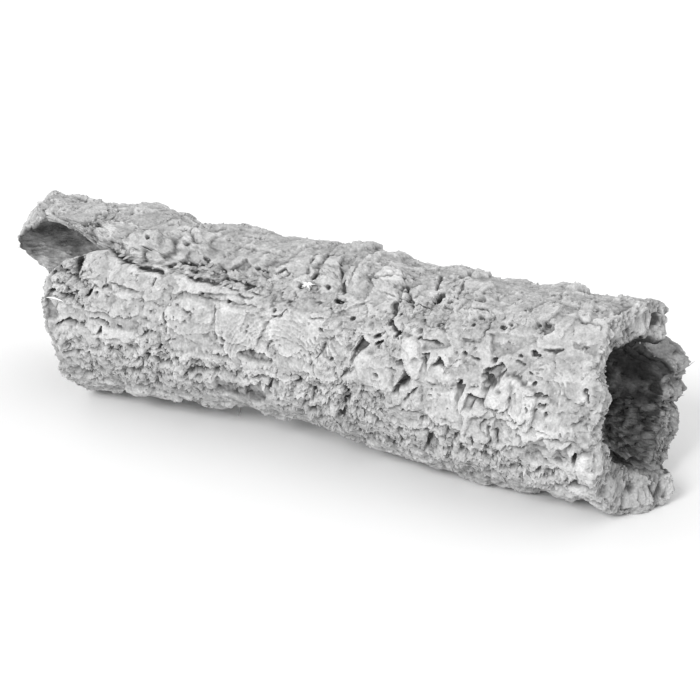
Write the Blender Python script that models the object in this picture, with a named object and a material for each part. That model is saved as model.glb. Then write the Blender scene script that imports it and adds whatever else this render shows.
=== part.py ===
# Cork branch: a hollow tube of cork bark with two broken ends, lying on its side.
# Sizes are in millimetres and angles in degrees until the mesh is placed, which is in metres.
# X runs along the tube. A place on the bark is (x, angle): x counts from the tube's waist,
# and the angle turns round the bore from 0 at the front (-Y), through 90 on top, to 180 at the back.

import itertools

import bmesh
import bpy
import numpy as np

NAME = "cork_branch"
MM = 0.001

# The tube lies with its bore's axis this high, and its waist this far from the middle of its length.
AXIS_HEIGHT = 52.5
WAIST_TO_MIDDLE = (27.5, 0.0)

# The bark's outside at stations along the tube, on its upper side and on its under side.
UPPER_ANGLE = 113
STATIONS = (-230, -200, -160, -120, -80, -40, 0, 40, 80, 120, 160, 190)
UPPER_RADII = (50, 54.5, 52.5, 54, 52.5, 52, 54.5, 51, 50, 51.5, 52.5, 52.5)
UNDER_RADII = (52, 52, 52.5, 48, 47.5, 44, 45.5, 50.5, 53, 53.5, 54, 54)

# The bore's radius round the near end, how much wider it gets at the far end, and the thinnest wall.
BORE_RADII = ((0, 35.5), (24, 37), (45, 34.5), (63, 35), (83, 32.5), (128, 31), (147, 32), (160, 34),
              (197, 34.5), (228, 37.5), (247, 36.5), (266, 35), (290, 31), (313, 31), (345, 34))
BORE_FLARE = 5.5
THINNEST_WALL = 11.0

# The broken ends as (angle, x). The far end has a notch in its front, above which the wall runs on.
NEAR_BREAK = ((-125, 168), (-112, 173), (-98, 177), (-89, 172), (-80, 167), (-70, 160), (-45, 156),
              (0, 154), (24, 155), (45, 150), (60, 149), (72, 151), (85, 154), (105, 155), (127, 163),
              (150, 157), (165, 166), (198, 166), (215, 166))
FAR_BREAK = ((-108, -166), (-90, -158), (-60, -156), (-40, -156), (-25, -155), (-10, -155), (0, -157), (15, -160),
             (30, -159), (36, -157), (40, -152), (44, -147), (48, -141), (51, -135), (54, -128),
             (56, -129), (58, -137), (62, -146), (66, -154), (69, -164), (71, -178), (74, -188),
             (80, -192), (95, -197), (110, -201), (120, -209), (130, -216), (140, -223), (150, -229),
             (160, -233), (170, -231), (180, -222), (190, -209), (200, -203), (212, -201), (225, -197),
             (240, -182))
BREAK_ROUNDING = 4.0
BREAK_RAGGEDNESS = 2.2
FAR_WALL_LEAN = 8.0

# Millimetres round the bark for each degree, on its mean radius.
ARC = 0.9

# Relief: (x, angle, half length, half width, turn from the tube's direction, height).
PLATES = ((-127, 42, 11, 9.5, -8, 2.2), (-103, 37, 15, 9, -4, 1.5), (-70, 23, 13.5, 10, 0, 1.8),
          (-41, 23.5, 14, 10.5, 0, 2.5), (-2, 25, 22, 13, -3, 1.8), (31, 63, 7.5, 18, 8, 2.0),
          (38, 14, 10, 9, 10, 1.6), (-134, -6, 16, 7.5, 0, 1.6), (-107, 0, 12, 8, 0, 1.5),
          (150.5, -14, 4.5, 7, 0, 3.0), (-127, 68, 14, 8, -10, 1.4), (-106, 62, 13, 9, -6, 1.7),
          (80, 2, 13, 9, 0, 1.5), (66, 35, 18, 8, -12, 1.4), (133, 38, 16, 9, 0, 1.4),
          (-30, 6, 9, 3.2, 0, -2.4), (100, 24, 5.5, 6, 0, -3.2), (-153, 12, 5, 7, 0, -1.6),
          (-120, 150, 24, 12, 6, 2.2), (-62, 168, 21, 14, -5, 2.4), (-12, 148, 19, 13, 4, 2.0),
          (40, 172, 20, 13, -4, 2.6), (92, 150, 20, 12, 8, 2.2), (134, 176, 16, 11, 0, 2.0),
          (-150, 186, 16, 12, 8, 2.0), (-96, 208, 22, 12, -6, 2.4), (-40, 212, 19, 13, 5, 2.2),
          (14, 216, 18, 12, -6, 2.4), (66, 214, 21, 13, 4, 2.4), (118, 222, 18, 12, -4, 2.4))
LIPS = ((131, 12, 13.5, 17, -90, 5.0), (-66, 52, 12, 22, -80, 2.6), (14, 56, 9, 12, -60, 2.6),
        (46, 58, 10, 8, -35, 2.2), (-14, 74, 16, 7, 10, 2.4), (-92, 76, 18, 9, 0, 2.2),
        (52, 22, 9, 7, -60, 2.4), (66, 78, 16, 9, 0, 2.0), (92, 18, 12, 9, -80, 2.8),
        (-118, 16, 12, 20, -90, 2.4), (105, 72, 16, 14, -20, 2.0), (-40, 4, 9, 24, -90, 1.8),
        (-80, 140, 15, 15, 60, 3.0), (18, 132, 14, 14, 120, 2.8), (84, 196, 15, 16, 95, 3.2),
        (-20, 190, 14, 15, 80, 2.8), (-128, 232, 13, 14, 100, 2.6), (44, 240, 12, 15, 90, 2.6))
LUMPS = ((107, 16.5, 7, 8.5, 0, 6.0), (14.5, 82, 3, 20, 0, 2.0), (-148, 42, 4, 5, 40, 3.5),
         (150, 104, 9, 17, 0, 3.2), (-148, 30, 8, 4, 0, 2.0), (62, 8, 4, 7, 20, 1.8),
         (54, 12, 3, 6, 25, 2.6), (160, 178, 9, 8, 0, 3.5), (161, 196, 8, 8, 0, 3.0),
         (162, 214, 6, 7, 0, 2.2), (-188, 102, 12, 14, 0, 2.0), (-131, 113, 9, 12, 0, 1.8),
         (-101, 113, 8, 12, 0, 1.8), (-64, 113, 10, 14, 0, 2.4), (58, 113, 10, 14, 0, 2.4),
         (106, 113, 9, 12, 0, 1.6), (-90, 106, 6, 14, 0, -2.4), (21, 108, 7, 16, 0, -2.4),
         (-34, -66, 7, 11, 0, 2.2), (10, -66, 7, 11, 0, 2.6), (61, -64, 10, 11, 0, -1.8),
         (142, -62, 9, 11, 0, -2.4), (72, 158, 8, 7, 0, 4.5), (-104, 176, 7, 8, 0, 4.0),
         (108, 204, 6, 7, 0, 4.2), (-8, 236, 8, 6, 0, 3.4))
PITS = ((28, 26, 2.8, 4.8, -25, -6.5), (56.5, 14, 2.8, 4.6, -30, -7.5), (72, 25, 3.4, 2.6, 20, -7.0),
        (88.5, 6, 1.6, 4.2, -15, -4.5), (104.5, 8, 3.4, 2.8, 0, -6.0), (98, 21, 3.0, 5.0, 0, -3.5),
        (-141, 40, 2.2, 7.0, 5, -5.5), (-134, -16, 4.4, 2.4, 15, -5.0), (-122, 3.5, 1.8, 3.2, -25, -5.5),
        (-75, -18, 3.2, 2.2, 0, -4.5), (-25, -21, 2.8, 6.0, -15, -5.5), (59.5, 67, 2.8, 5.2, -12, -5.0),
        (121, 59, 6.0, 4.4, 0, -2.6), (27, 85, 3.2, 1.8, -40, -5.0), (145, -13, 2.0, 4.6, -10, -5.0),
        (-109, 134, 2.6, 4.6, 20, -5.0), (-36, 128, 3.6, 2.4, 0, -5.0), (54, 140, 2.6, 4.4, -15, -5.0),
        (-66, 188, 4.2, 2.4, 10, -5.5), (4, 172, 2.6, 4.6, 0, -5.5), (60, 190, 2.4, 4.4, 15, -5.5),
        (112, 172, 3.6, 2.6, 0, -5.0), (-128, 208, 3.6, 2.6, 0, -5.0), (32, 230, 4.2, 2.4, 0, -5.0))
# Fissures: the points (x, angle) that each one runs through, its half width and its depth.
FISSURES = ((((-130, 55.5), (-121, 52), (-112, 48), (-104, 46.5)), 2.2, 4.5),
            (((-106, 46), (-101, 47.5), (-91, 46)), 2.6, 6.5),
            (((-90, 51), (-86, 53.5), (-80, 56.5), (-66, 56)), 1.8, 3.2),
            (((-74, 47), (-67, 46.5), (-55, 50), (-38, 49)), 2.2, 4.2),
            (((-19, 39), (-24, 33), (-27, 22), (-29, 15)), 1.8, 3.0),
            (((28, 30), (26, 20), (20, 6)), 1.9, 3.4),
            (((40, 71), (44, 65), (50, 55)), 1.8, 3.0),
            (((90, 10), (100, 10), (107, 11)), 1.8, 4.0),
            (((116, -4), (122, -4.5), (133, 0), (139, 0)), 2.2, 4.2),
            (((-156, 20), (-152, 22), (-141, 20)), 2.0, 4.5),
            (((-149, 1.5), (-145, 4.5), (-117, 9.5)), 1.7, 3.4),
            (((-15, 82), (-13, 64)), 1.8, 2.8), (((-9, 82), (-7, 66), (-3, 58)), 1.8, 3.0),
            (((-90, 92), (-89, 80), (-79, 70)), 1.9, 2.6), (((51, 92), (56, 72)), 1.8, 2.6),
            (((-180, 158), (-150, 166), (-112, 160), (-86, 152)), 2.8, 6.5),
            (((-78, 186), (-44, 194), (-16, 180), (14, 186)), 2.8, 6.5),
            (((16, 156), (44, 150), (74, 158), (104, 152)), 2.6, 6.0),
            (((58, 196), (92, 204), (128, 198), (158, 205)), 2.8, 6.0),
            (((-142, 218), (-112, 226), (-76, 222)), 2.6, 5.5),
            (((-60, 232), (-22, 226), (20, 232), (52, 226)), 2.6, 5.5))

# Broken bark between the placed features: cells of this length and width, with noise over them.
CELL_SIZE = (30.0, 17.0)
CELL_STEP = 2.4
CELL_TILT = 3.2
CELL_GAP_DEPTH = 2.8
NOISE_WIDTHS = ((34.0, 1.4), (13.0, 1.1))
BORE_NOISE = ((26.0, 1.2), (10.0, 0.9))
SEED = 11
# All the relief's mean height, which the outside radii above already hold.
MEAN_RELIEF = 1.0

# Grid: rows along the outside, round each break and along the bore, by rows round the tube.
OUTSIDE_ROWS = 180
BREAK_ROWS = 8
BORE_ROWS = 60
ROUND_ROWS = 160
TRIANGLES = 9300

CORK_COLOR = (0.56, 0.56, 0.56, 1.0)
CORK_ROUGHNESS = 0.92

random_numbers = np.random.default_rng(SEED)
SHUFFLE = random_numbers.permutation(256)
DIRECTIONS = random_numbers.normal(size=(256, 3))
DIRECTIONS = DIRECTIONS / np.linalg.norm(DIRECTIONS, axis=1)[:, None]
CHANCES = random_numbers.random((256, 4))


def clear_scene():
    for old in list(bpy.data.objects):
        bpy.data.objects.remove(old)


def smooth_step(low, high, value):
    # 0 below low, 1 above high, and an S curve between them.
    t = np.clip((value - low) / (high - low), 0.0, 1.0)
    return t * t * (3.0 - 2.0 * t)


def round_the_tube(angle, points):
    # Straight stretches through (angle, value) points that close on themselves.
    ordered = sorted((point[0] % 360.0, point[1]) for point in points)
    angles, values = np.array(ordered).T
    return np.interp(np.mod(angle, 360.0), angles, values, period=360.0)


def along_the_tube(x, values):
    # A smooth curve through one value at each station.
    places = np.array(STATIONS, float)
    values = np.array(values, float)
    slopes = np.gradient(values, places)
    left = np.clip(np.searchsorted(places, x) - 1, 0, len(places) - 2)
    span = places[left + 1] - places[left]
    t = np.clip((x - places[left]) / span, 0.0, 1.0)
    start = (1.0 + 2.0 * t) * (1.0 - t) ** 2 * values[left]
    end = t * t * (3.0 - 2.0 * t) * values[left + 1]
    bend = t * (1.0 - t) * span * ((1.0 - t) * slopes[left] - t * slopes[left + 1])
    return start + end + bend


def noise(points, width, shift):
    # Gradient noise of about -1 to 1, whose lumps are as wide as the given width.
    place = points / width + 17.3 * shift
    corner = np.floor(place).astype(int)
    inside = place - corner
    fade = inside ** 3 * (inside * (inside * 6.0 - 15.0) + 10.0)
    total = np.zeros(points.shape[:-1])
    for step in itertools.product((0, 1), repeat=3):
        cell = (corner + step) & 255
        key = SHUFFLE[(SHUFFLE[(SHUFFLE[cell[..., 0]] + cell[..., 1]) & 255] + cell[..., 2]) & 255]
        weight = np.prod(np.where(step, fade, 1.0 - fade), axis=-1)
        total += weight * np.sum(DIRECTIONS[key] * (inside - step), axis=-1)
    return 1.6 * total


def bark_cells(x, angle):
    # Uneven cells over the bark: how far each point is from a gap, and its cell's own height, which
    # tilts from one side of the cell to the other.
    around = int(round(360.0 * ARC / CELL_SIZE[1]))
    u = x / CELL_SIZE[0]
    v = np.mod(angle, 360.0) / 360.0 * around
    column = np.floor(u).astype(int)
    row = np.floor(v).astype(int)
    nearest = np.full(x.shape, 9.0)
    second = nearest.copy()
    height = np.zeros(x.shape)
    for step_u, step_v in itertools.product((-1, 0, 1), repeat=2):
        key = SHUFFLE[(SHUFFLE[(column + step_u) & 255] + np.mod(row + step_v, around)) & 255]
        off_u = u - column - step_u - CHANCES[key, 0]
        off_v = v - row - step_v - CHANCES[key, 1]
        away = np.hypot(off_u, off_v)
        tilt = CELL_TILT * ((CHANCES[key, 3] - 0.5) * off_u - 0.5 * off_v)
        closer = away < nearest
        second = np.where(closer, nearest, np.minimum(second, away))
        height = np.where(closer, CELL_STEP * (CHANCES[key, 2] - 0.5) + tilt, height)
        nearest = np.where(closer, away, nearest)
    return second - nearest, height


def turned_offsets(x, angle, center_x, center_angle, turn):
    # Distances from a feature's centre, along and across its own direction.
    along = x - center_x
    across = (np.mod(angle - center_angle + 180.0, 360.0) - 180.0) * ARC
    cosine = np.cos(np.radians(turn))
    sine = np.sin(np.radians(turn))
    return along * cosine + across * sine, across * cosine - along * sine


def plate(x, angle, center_x, center_angle, long, wide, turn, height):
    # A flat raised piece of bark with steep sides and rounded corners.
    along, across = turned_offsets(x, angle, center_x, center_angle, turn)
    reach = (np.abs(along / long) ** 3.5 + np.abs(across / wide) ** 3.5) ** (1 / 3.5)
    return height * (1.0 - smooth_step(0.84, 1.16, reach))


def lip(x, angle, center_x, center_angle, long, wide, turn, height):
    # A wedge that rises along its direction and drops at its edge, like a lifted scale.
    along, across = turned_offsets(x, angle, center_x, center_angle, turn)
    rise = np.clip((along / long + 1.0) / 2.0, 0.0, 1.0) ** 1.5
    drop = 1.0 - smooth_step(0.93, 1.08, along / long)
    side = 1.0 - smooth_step(0.75, 1.0, np.abs(across / wide))
    return height * rise * drop * side


def lump(x, angle, center_x, center_angle, long, wide, turn, height):
    # A round swelling, or a round dip where the height is negative.
    along, across = turned_offsets(x, angle, center_x, center_angle, turn)
    return height * np.clip(1.0 - (along / long) ** 2 - (across / wide) ** 2, 0.0, 1.0) ** 0.6


def pit(x, angle, center_x, center_angle, long, wide, turn, height):
    # A steep hole with a flat floor.
    along, across = turned_offsets(x, angle, center_x, center_angle, turn)
    return height * (1.0 - smooth_step(0.45, 1.15, np.hypot(along / long, across / wide)))


def fissure(x, angle, points, half_width, depth):
    # A sharp groove through the points, narrower at both of its ends.
    nearest = np.full(x.shape, 99.0)
    runs = len(points) - 1
    for run in range(runs):
        (start_x, start_angle), (end_x, end_angle) = points[run], points[run + 1]
        along, across = turned_offsets(x, angle, start_x, start_angle, 0)
        step_x = end_x - start_x
        step_y = (end_angle - start_angle) * ARC
        t = np.clip((along * step_x + across * step_y) / (step_x ** 2 + step_y ** 2), 0.0, 1.0)
        way = (run + t) / runs
        taper = 0.45 + 0.55 * np.sqrt(4.0 * way * (1.0 - way))
        nearest = np.minimum(nearest, np.hypot(along - t * step_x, across - t * step_y) / taper)
    return -depth * np.clip(1.0 - nearest / half_width, 0.0, 1.0) ** 0.75


def bark_relief(x, angle, points):
    # Height of the bark over its smooth outside.
    wander = 1.1 * noise(points, 7.0, 1)
    placed_x = x + wander
    placed_angle = angle + noise(points, 7.0, 2) / ARC
    height = np.full(x.shape, -MEAN_RELIEF)
    for shape, features in ((plate, PLATES), (lip, LIPS), (lump, LUMPS), (pit, PITS)):
        for feature in features:
            height += shape(placed_x, placed_angle, *feature)
    for feature in FISSURES:
        height += fissure(placed_x, placed_angle, *feature)
    # The front is all placed by hand, so the cells fade out there.
    gap, step = bark_cells(placed_x + 3.0 * wander, placed_angle)
    open_gap = smooth_step(-0.3, 0.5, noise(points, 22.0, 8))
    hidden = 0.15 + 0.85 * smooth_step(95, 125, angle) + 0.85 * smooth_step(-35, -60, angle)
    height += hidden * (step - CELL_GAP_DEPTH * open_gap * (1.0 - smooth_step(0.03, 0.2, gap)))
    for shift, (width, size) in enumerate(NOISE_WIDTHS):
        height += size * noise(points, width, 3 + shift)
    return height


def bore_relief(points):
    # Long shallow swellings along the bore.
    stretched = points * (0.4, 1.0, 1.0)
    height = np.zeros(points.shape[:-1])
    for shift, (width, size) in enumerate(BORE_NOISE):
        height += size * noise(stretched, width, 6 + shift)
    return height


def place(x, angle, radius):
    # The point at a distance from the bore's axis.
    turn = np.radians(angle)
    return np.stack((x, -radius * np.cos(turn), AXIS_HEIGHT + radius * np.sin(turn)), axis=-1)


def loop_rows(angle):
    # Rows that run along the outside, over the near break, back along the bore and over the far break.
    # Each row has x, its share of the way from the outside to the bore, and its share of a break.
    circle = place(0.0 * angle, angle, UPPER_RADII[0])
    far = round_the_tube(angle, FAR_BREAK) + BREAK_RAGGEDNESS * noise(circle, 8.0, 12)
    near = round_the_tube(angle, NEAR_BREAK) + BREAK_RAGGEDNESS * noise(circle, 8.0, 13)
    start = far + BREAK_ROUNDING
    length = near - far - 2.0 * BREAK_ROUNDING
    outside = np.linspace(0.0, 1.0, OUTSIDE_ROWS)[:, None]
    bore = np.linspace(1.0, 0.0, BORE_ROWS)[:, None]
    turn = np.linspace(0.0, np.pi, BREAK_ROWS + 2)[1:-1, None] + 0.0 * angle
    over = np.sin(turn) ** 0.55
    across = 0.5 - 0.5 * np.sign(np.cos(turn)) * np.abs(np.cos(turn)) ** 0.55
    x = np.concatenate((start + outside * length,
                        near - BREAK_ROUNDING * (1.0 - over),
                        start + bore * length,
                        far + BREAK_ROUNDING * (1.0 - over)))
    flat = np.zeros_like(angle)
    depth = np.concatenate((outside * flat, across, 1.0 + bore * flat, 1.0 - across))
    broken = np.concatenate((outside * flat, over, bore * flat, over))
    return x, depth, broken


def tube_points():
    # Every point of the tube, as rows along the loop by rows round the tube.
    angle = np.linspace(-110.0, 250.0, ROUND_ROWS, endpoint=False)
    x, depth, broken = loop_rows(angle)
    angle = np.broadcast_to(angle, x.shape)
    upper = 0.5 + 0.5 * np.cos(np.radians(angle - UPPER_ANGLE))
    outside = upper * along_the_tube(x, UPPER_RADII) + (1.0 - upper) * along_the_tube(x, UNDER_RADII)
    bore = round_the_tube(angle, BORE_RADII) + BORE_FLARE * smooth_step(-90, -180, x)
    bore = np.minimum(bore, outside - THINNEST_WALL)
    # The back wall of the far end leans in towards the bore.
    back = smooth_step(95, 130, angle) * (1.0 - smooth_step(205, 235, angle))
    lean = FAR_WALL_LEAN * back * smooth_step(-190, -232, x)
    radius = outside + (bore - outside) * depth - lean
    points = place(x, angle, radius)
    bark = bark_relief(x, angle, points) * (1.0 - depth)
    radius = radius + bark - bore_relief(points) * depth
    x = x + broken * np.sign(x) * 1.4 * noise(points, 8.0, 9)
    return place(x, angle, radius)


def cork_material():
    material = bpy.data.materials.new("cork")
    material.use_nodes = True
    shader = material.node_tree.nodes["Principled BSDF"]
    shader.inputs["Base Color"].default_value = CORK_COLOR
    shader.inputs["Roughness"].default_value = CORK_ROUGHNESS
    shader.inputs["Metallic"].default_value = 0.0
    return material


def new_collection(name):
    collection = bpy.data.collections.new(name)
    bpy.context.scene.collection.children.link(collection)
    return collection


def move_to(item, collection):
    for old in list(item.users_collection):
        old.objects.unlink(item)
    collection.objects.link(item)


def add_ground_cutter(collection):
    # A block whose top is the ground, which flattens the bark where the tube rests.
    depth = 0.05
    bpy.ops.mesh.primitive_cube_add(size=1.0, location=(0.0, 0.0, -depth / 2.0))
    cutter = bpy.context.object
    cutter.name = "ground_cutter"
    cutter.scale = (1.0, 0.5, depth)
    bpy.ops.object.transform_apply(location=False, rotation=False, scale=True)
    cutter.hide_render = True
    cutter.display_type = "WIRE"
    move_to(cutter, collection)
    return cutter


def add_cork_tube(collection, cutter):
    # A ring whose section runs once round the wall, with every point then moved to its place.
    points = tube_points()
    points[..., 0] += WAIST_TO_MIDDLE[0]
    points[..., 1] += WAIST_TO_MIDDLE[1]
    loop_count, round_count = points.shape[:2]
    bpy.ops.mesh.primitive_torus_add(major_segments=round_count, minor_segments=loop_count)
    tube = bpy.context.object
    tube.name = NAME
    tube.data.name = NAME
    places = points.swapaxes(0, 1) * MM
    tube.data.vertices.foreach_set("co", places.ravel())
    shape = bmesh.new()
    shape.from_mesh(tube.data)
    bmesh.ops.recalc_face_normals(shape, faces=shape.faces)
    shape.to_mesh(tube.data)
    shape.free()
    tube.data.materials.append(cork_material())
    thin = tube.modifiers.new("thin", "DECIMATE")
    thin.ratio = TRIANGLES / (2.0 * loop_count * round_count)
    ground = tube.modifiers.new("ground", "BOOLEAN")
    ground.operation = "DIFFERENCE"
    ground.object = cutter
    move_to(tube, collection)
    return tube


def main():
    clear_scene()
    cutter = add_ground_cutter(new_collection("cutters"))
    add_cork_tube(new_collection(NAME), cutter)


main()
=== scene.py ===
# Cork branch: the finished surface of a hollow tube of cork bark that lies on its side.
# Places and sizes are in millimetres and degrees, and every mesh is made in metres.
# X runs along the tube. A place on the bark is (x, angle): x counts from the tube's waist, and the
# angle turns round the bore from 0 at the front (-Y), through 90 on top, to 180 at the back.
import itertools
import math

import bmesh
import bpy
import numpy as np
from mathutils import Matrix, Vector


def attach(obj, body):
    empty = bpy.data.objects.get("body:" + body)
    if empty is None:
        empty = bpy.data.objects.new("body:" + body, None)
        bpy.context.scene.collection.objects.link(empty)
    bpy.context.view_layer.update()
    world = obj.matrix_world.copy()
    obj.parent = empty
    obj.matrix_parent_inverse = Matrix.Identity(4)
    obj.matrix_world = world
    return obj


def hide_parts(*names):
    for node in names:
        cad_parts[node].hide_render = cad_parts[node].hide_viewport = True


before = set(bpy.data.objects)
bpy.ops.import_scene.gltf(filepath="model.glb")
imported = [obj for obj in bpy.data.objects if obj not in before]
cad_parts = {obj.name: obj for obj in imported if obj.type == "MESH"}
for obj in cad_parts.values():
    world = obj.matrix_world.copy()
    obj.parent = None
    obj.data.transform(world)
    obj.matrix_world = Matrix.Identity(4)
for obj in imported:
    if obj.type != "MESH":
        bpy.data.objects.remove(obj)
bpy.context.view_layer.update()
print("frame loaded")

mm = 0.001
floorGap = 0.05  # millimetres between the lowest cork and the floor

# The tube's smooth form. The stations and radii are its solid's own, and the broken ends run near to its.
tube = {
    "axisHeight": 52.5,
    "waistToMiddle": 27.5,
    "upperAngle": 113,
    "stations": (-230, -200, -160, -120, -80, -40, 0, 40, 80, 120, 160, 190),
    "upperRadii": (50, 54.5, 52.5, 54, 52.5, 52, 54.5, 51, 50, 51.5, 52.5, 52.5),
    "underRadii": (52, 52, 52.5, 48, 47.5, 44, 45.5, 50.5, 53, 53.5, 54, 54),
    "boreRadii": ((0, 35.5), (24, 37), (45, 34.5), (63, 35), (83, 32.5), (128, 31), (147, 32), (160, 34),
                  (197, 34.5), (228, 37.5), (247, 36.5), (266, 35), (290, 31), (313, 31), (345, 34)),
    "boreFlare": 5.5,
    "thinnestWall": 11.0,
    # the broken ends run through these places (angle, x)
    "nearBreak": ((-125, 165), (-112, 167), (-98, 174), (-89, 171), (-80, 167), (-70, 160), (-45, 156),
                  (0, 154), (24, 155), (45, 150), (60, 149), (72, 151), (85, 154), (105, 156), (124, 162),
                  (134, 151), (150, 147), (158, 150), (165, 162), (173, 165), (184, 161), (190, 164),
                  (200, 162), (206, 165), (216, 163)),
    "farBreak": ((-108, -166), (-90, -158), (-60, -156), (-40, -156), (-25, -155), (-10, -155), (0, -157),
                 (15, -160), (30, -159), (36, -157), (40, -152), (44, -147), (48, -141), (51, -135),
                 (54, -128), (56, -129), (58, -137), (62, -146), (66, -154), (69, -164), (71, -178),
                 (74, -184), (80, -187), (90, -189), (100, -191), (110, -195), (120, -204), (130, -214),
                 (140, -222), (150, -228), (160, -233), (170, -232), (180, -225), (190, -218), (200, -213),
                 (212, -207), (225, -199), (240, -182)),
    "breakRounding": 2.8,
    "breakRaggedness": 1.8,
    "farBreakNoise": (8.0, 12),  # width and shift
    "nearBreakNoise": (8.0, 13),
    "farWallLean": 8.0,
    "nearWallLean": 2.0,
    "arc": 0.9,  # millimetres round the bark for each degree
    "firstAngle": -110.0,  # where the rows round the tube start, underneath
    "seed": 11,
}

# Random numbers for the noises and the cells, and how far apart in the grid two shifts lie.
noiseApart = 17.3
cellsApart = 31.7
noiseScale = 1.6
randomNumbers = np.random.default_rng(tube["seed"])
shuffle = randomNumbers.permutation(256)
directions = randomNumbers.normal(size=(256, 3))
directions = directions / np.linalg.norm(directions, axis=1)[:, None]
chances = randomNumbers.random((256, 4))


def smoothStep(low, high, value):
    # 0 below low, 1 above high, and an S curve, 3tt - 2ttt, between them
    t = np.clip((value - low) / (high - low), 0.0, 1.0)
    return t * t * (3.0 - 2.0 * t)


def roundTheTube(angle, points):
    # straight stretches through (angle, value) points that close on themselves
    ordered = sorted((point[0] % 360.0, point[1]) for point in points)
    angles, values = np.array(ordered).T
    return np.interp(np.mod(angle, 360.0), angles, values, period=360.0)


def alongTheTube(x, values):
    # a cubic curve through one value at each station, with the stations' own slopes
    places = np.array(tube["stations"], float)
    values = np.array(values, float)
    slopes = np.gradient(values, places)
    left = np.clip(np.searchsorted(places, x) - 1, 0, len(places) - 2)
    span = places[left + 1] - places[left]
    t = np.clip((x - places[left]) / span, 0.0, 1.0)
    start = (1.0 + 2.0 * t) * (1.0 - t) ** 2 * values[left]
    end = t * t * (3.0 - 2.0 * t) * values[left + 1]
    bend = t * (1.0 - t) * span * ((1.0 - t) * slopes[left] - t * slopes[left + 1])
    return start + end + bend


def cellKey(cell):
    # a number from 0 to 255 for each cell of a grid in space
    cell = cell & 255
    return shuffle[(shuffle[(shuffle[cell[..., 0]] + cell[..., 1]) & 255] + cell[..., 2]) & 255]


def noise(points, width, shift, stretch=(1.0, 1.0, 1.0)):
    # gradient noise of about -1 to 1: random slopes at the corners of cubes of this width, blended
    # with a smooth fade; a stretch above 1 narrows it along that axis
    scaled = points * stretch / width + noiseApart * shift
    corner = np.floor(scaled).astype(int)
    inside = scaled - corner
    fade = inside ** 3 * (inside * (inside * 6.0 - 15.0) + 10.0)
    total = np.zeros(points.shape[:-1])
    for step in itertools.product((0, 1), repeat=3):
        weight = np.ones(total.shape)
        for axis in range(3):
            weight = weight * (fade[..., axis] if step[axis] else 1.0 - fade[..., axis])
        total += weight * np.einsum("...i,...i->...", directions[cellKey(corner + step)], inside - step)
    return noiseScale * total


def nearestOf(candidates):
    # of the cells around each point: how much further off the second centre is than the nearest one, the
    # nearest one's key, and the point's offset from it in cells
    nearest = 9.0
    second = 9.0
    ownKey = 0
    own = 0.0
    for away, key, offset in candidates:
        closer = away < nearest
        second = np.where(closer, nearest, np.minimum(second, away))
        ownKey = np.where(closer, key, ownKey)
        own = np.where(closer[..., None], offset, own)
        nearest = np.where(closer, away, nearest)
    return second - nearest, ownKey, own


def cells(x, angle, length, width, shift=0):
    # uneven cells over the bark, one random centre in each square of a grid
    around = int(round(360.0 * tube["arc"] / width))
    u = x / length
    v = np.mod(angle, 360.0) / 360.0 * around
    column = np.floor(u).astype(int)
    row = np.floor(v).astype(int)

    def candidates():
        for stepU, stepV in itertools.product((-1, 0, 1), repeat=2):
            key = shuffle[(shuffle[(column + stepU + shift) & 255] + np.mod(row + stepV, around)) & 255]
            offU = u - column - stepU - chances[key, 0]
            offV = v - row - stepV - chances[key, 1]
            yield np.hypot(offU, offV), key, np.stack((offU, offV), axis=-1)

    return nearestOf(candidates())


def spaceCells(points, size, shift):
    # uneven cells in space, one random centre in each cube of a grid
    scaled = points / size + cellsApart * shift
    corner = np.floor(scaled).astype(int)
    inside = scaled - corner

    def candidates():
        for step in itertools.product((-1, 0, 1), repeat=3):
            key = cellKey(corner + step)
            offset = inside - step - chances[key, :3]
            yield np.sqrt(np.einsum("...i,...i->...", offset, offset)), key, offset

    return nearestOf(candidates())


def crumbled(points, size, shift, fallen):
    # broken crumbs: each cell in space is a facet with a height and a slant of its own and a crease at its
    # edge, and some of the cells have fallen out
    gap, key, own = spaceCells(points, size, shift)
    level = 0.55 * (chances[key, 3] - 0.5) + 0.6 * np.einsum("...i,...i->...", directions[key], own)
    level = level - (chances[shuffle[key], 2] < fallen)
    return size * (level - 0.15 * (1.0 - smoothStep(0.0, 0.15, gap)))


def turnFrom(angle, centerAngle):
    # degrees from a centre to an angle, the short way round
    return np.mod(angle - centerAngle + 180.0, 360.0) - 180.0


def turnedOffsets(x, angle, centerX, centerAngle, turn):
    # distances from a feature's centre, along and across its own direction
    along = x - centerX
    across = turnFrom(angle, centerAngle) * tube["arc"]
    cosine = math.cos(math.radians(turn))
    sine = math.sin(math.radians(turn))
    return along * cosine + across * sine, across * cosine - along * sine


def laid(shape, features, x, angle):
    # each feature's shape at its own place, one after another: the shape's u runs along the feature and its
    # v across, both from -1 to 1
    for centerX, centerAngle, long, wide, turn, height in features:
        along, across = turnedOffsets(x, angle, centerX, centerAngle, turn)
        yield shape(along / long, across / wide, height)


def plate(u, v, height):
    # a flat raised piece: its height inside a rounded rectangle, and an S curve down at its edge
    reach = (np.abs(u) ** 3.0 + np.abs(v) ** 3.0) ** (1.0 / 3.0)
    return height * (1.0 - smoothStep(0.93, 1.05, reach))


def lip(u, v, height):
    # a wedge that rises along its direction as a power curve and drops at its edge
    rise = np.clip((u + 1.0) / 2.0, 0.0, 1.0) ** 1.5
    drop = 1.0 - smoothStep(0.95, 1.03, u)
    side = 1.0 - smoothStep(0.5, 1.0, np.abs(v))
    return height * rise * drop * side


def lump(u, v, height):
    # a round swelling, one minus the square of the distance to the power 0.6, or a dip
    return height * np.clip(1.0 - u ** 2 - v ** 2, 0.0, 1.0) ** 0.6


def pit(u, v, height):
    # a steep hole with a flat floor: an S curve of the distance from its centre
    return height * (1.0 - smoothStep(0.68, 1.06, np.hypot(u, v)))


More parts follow.
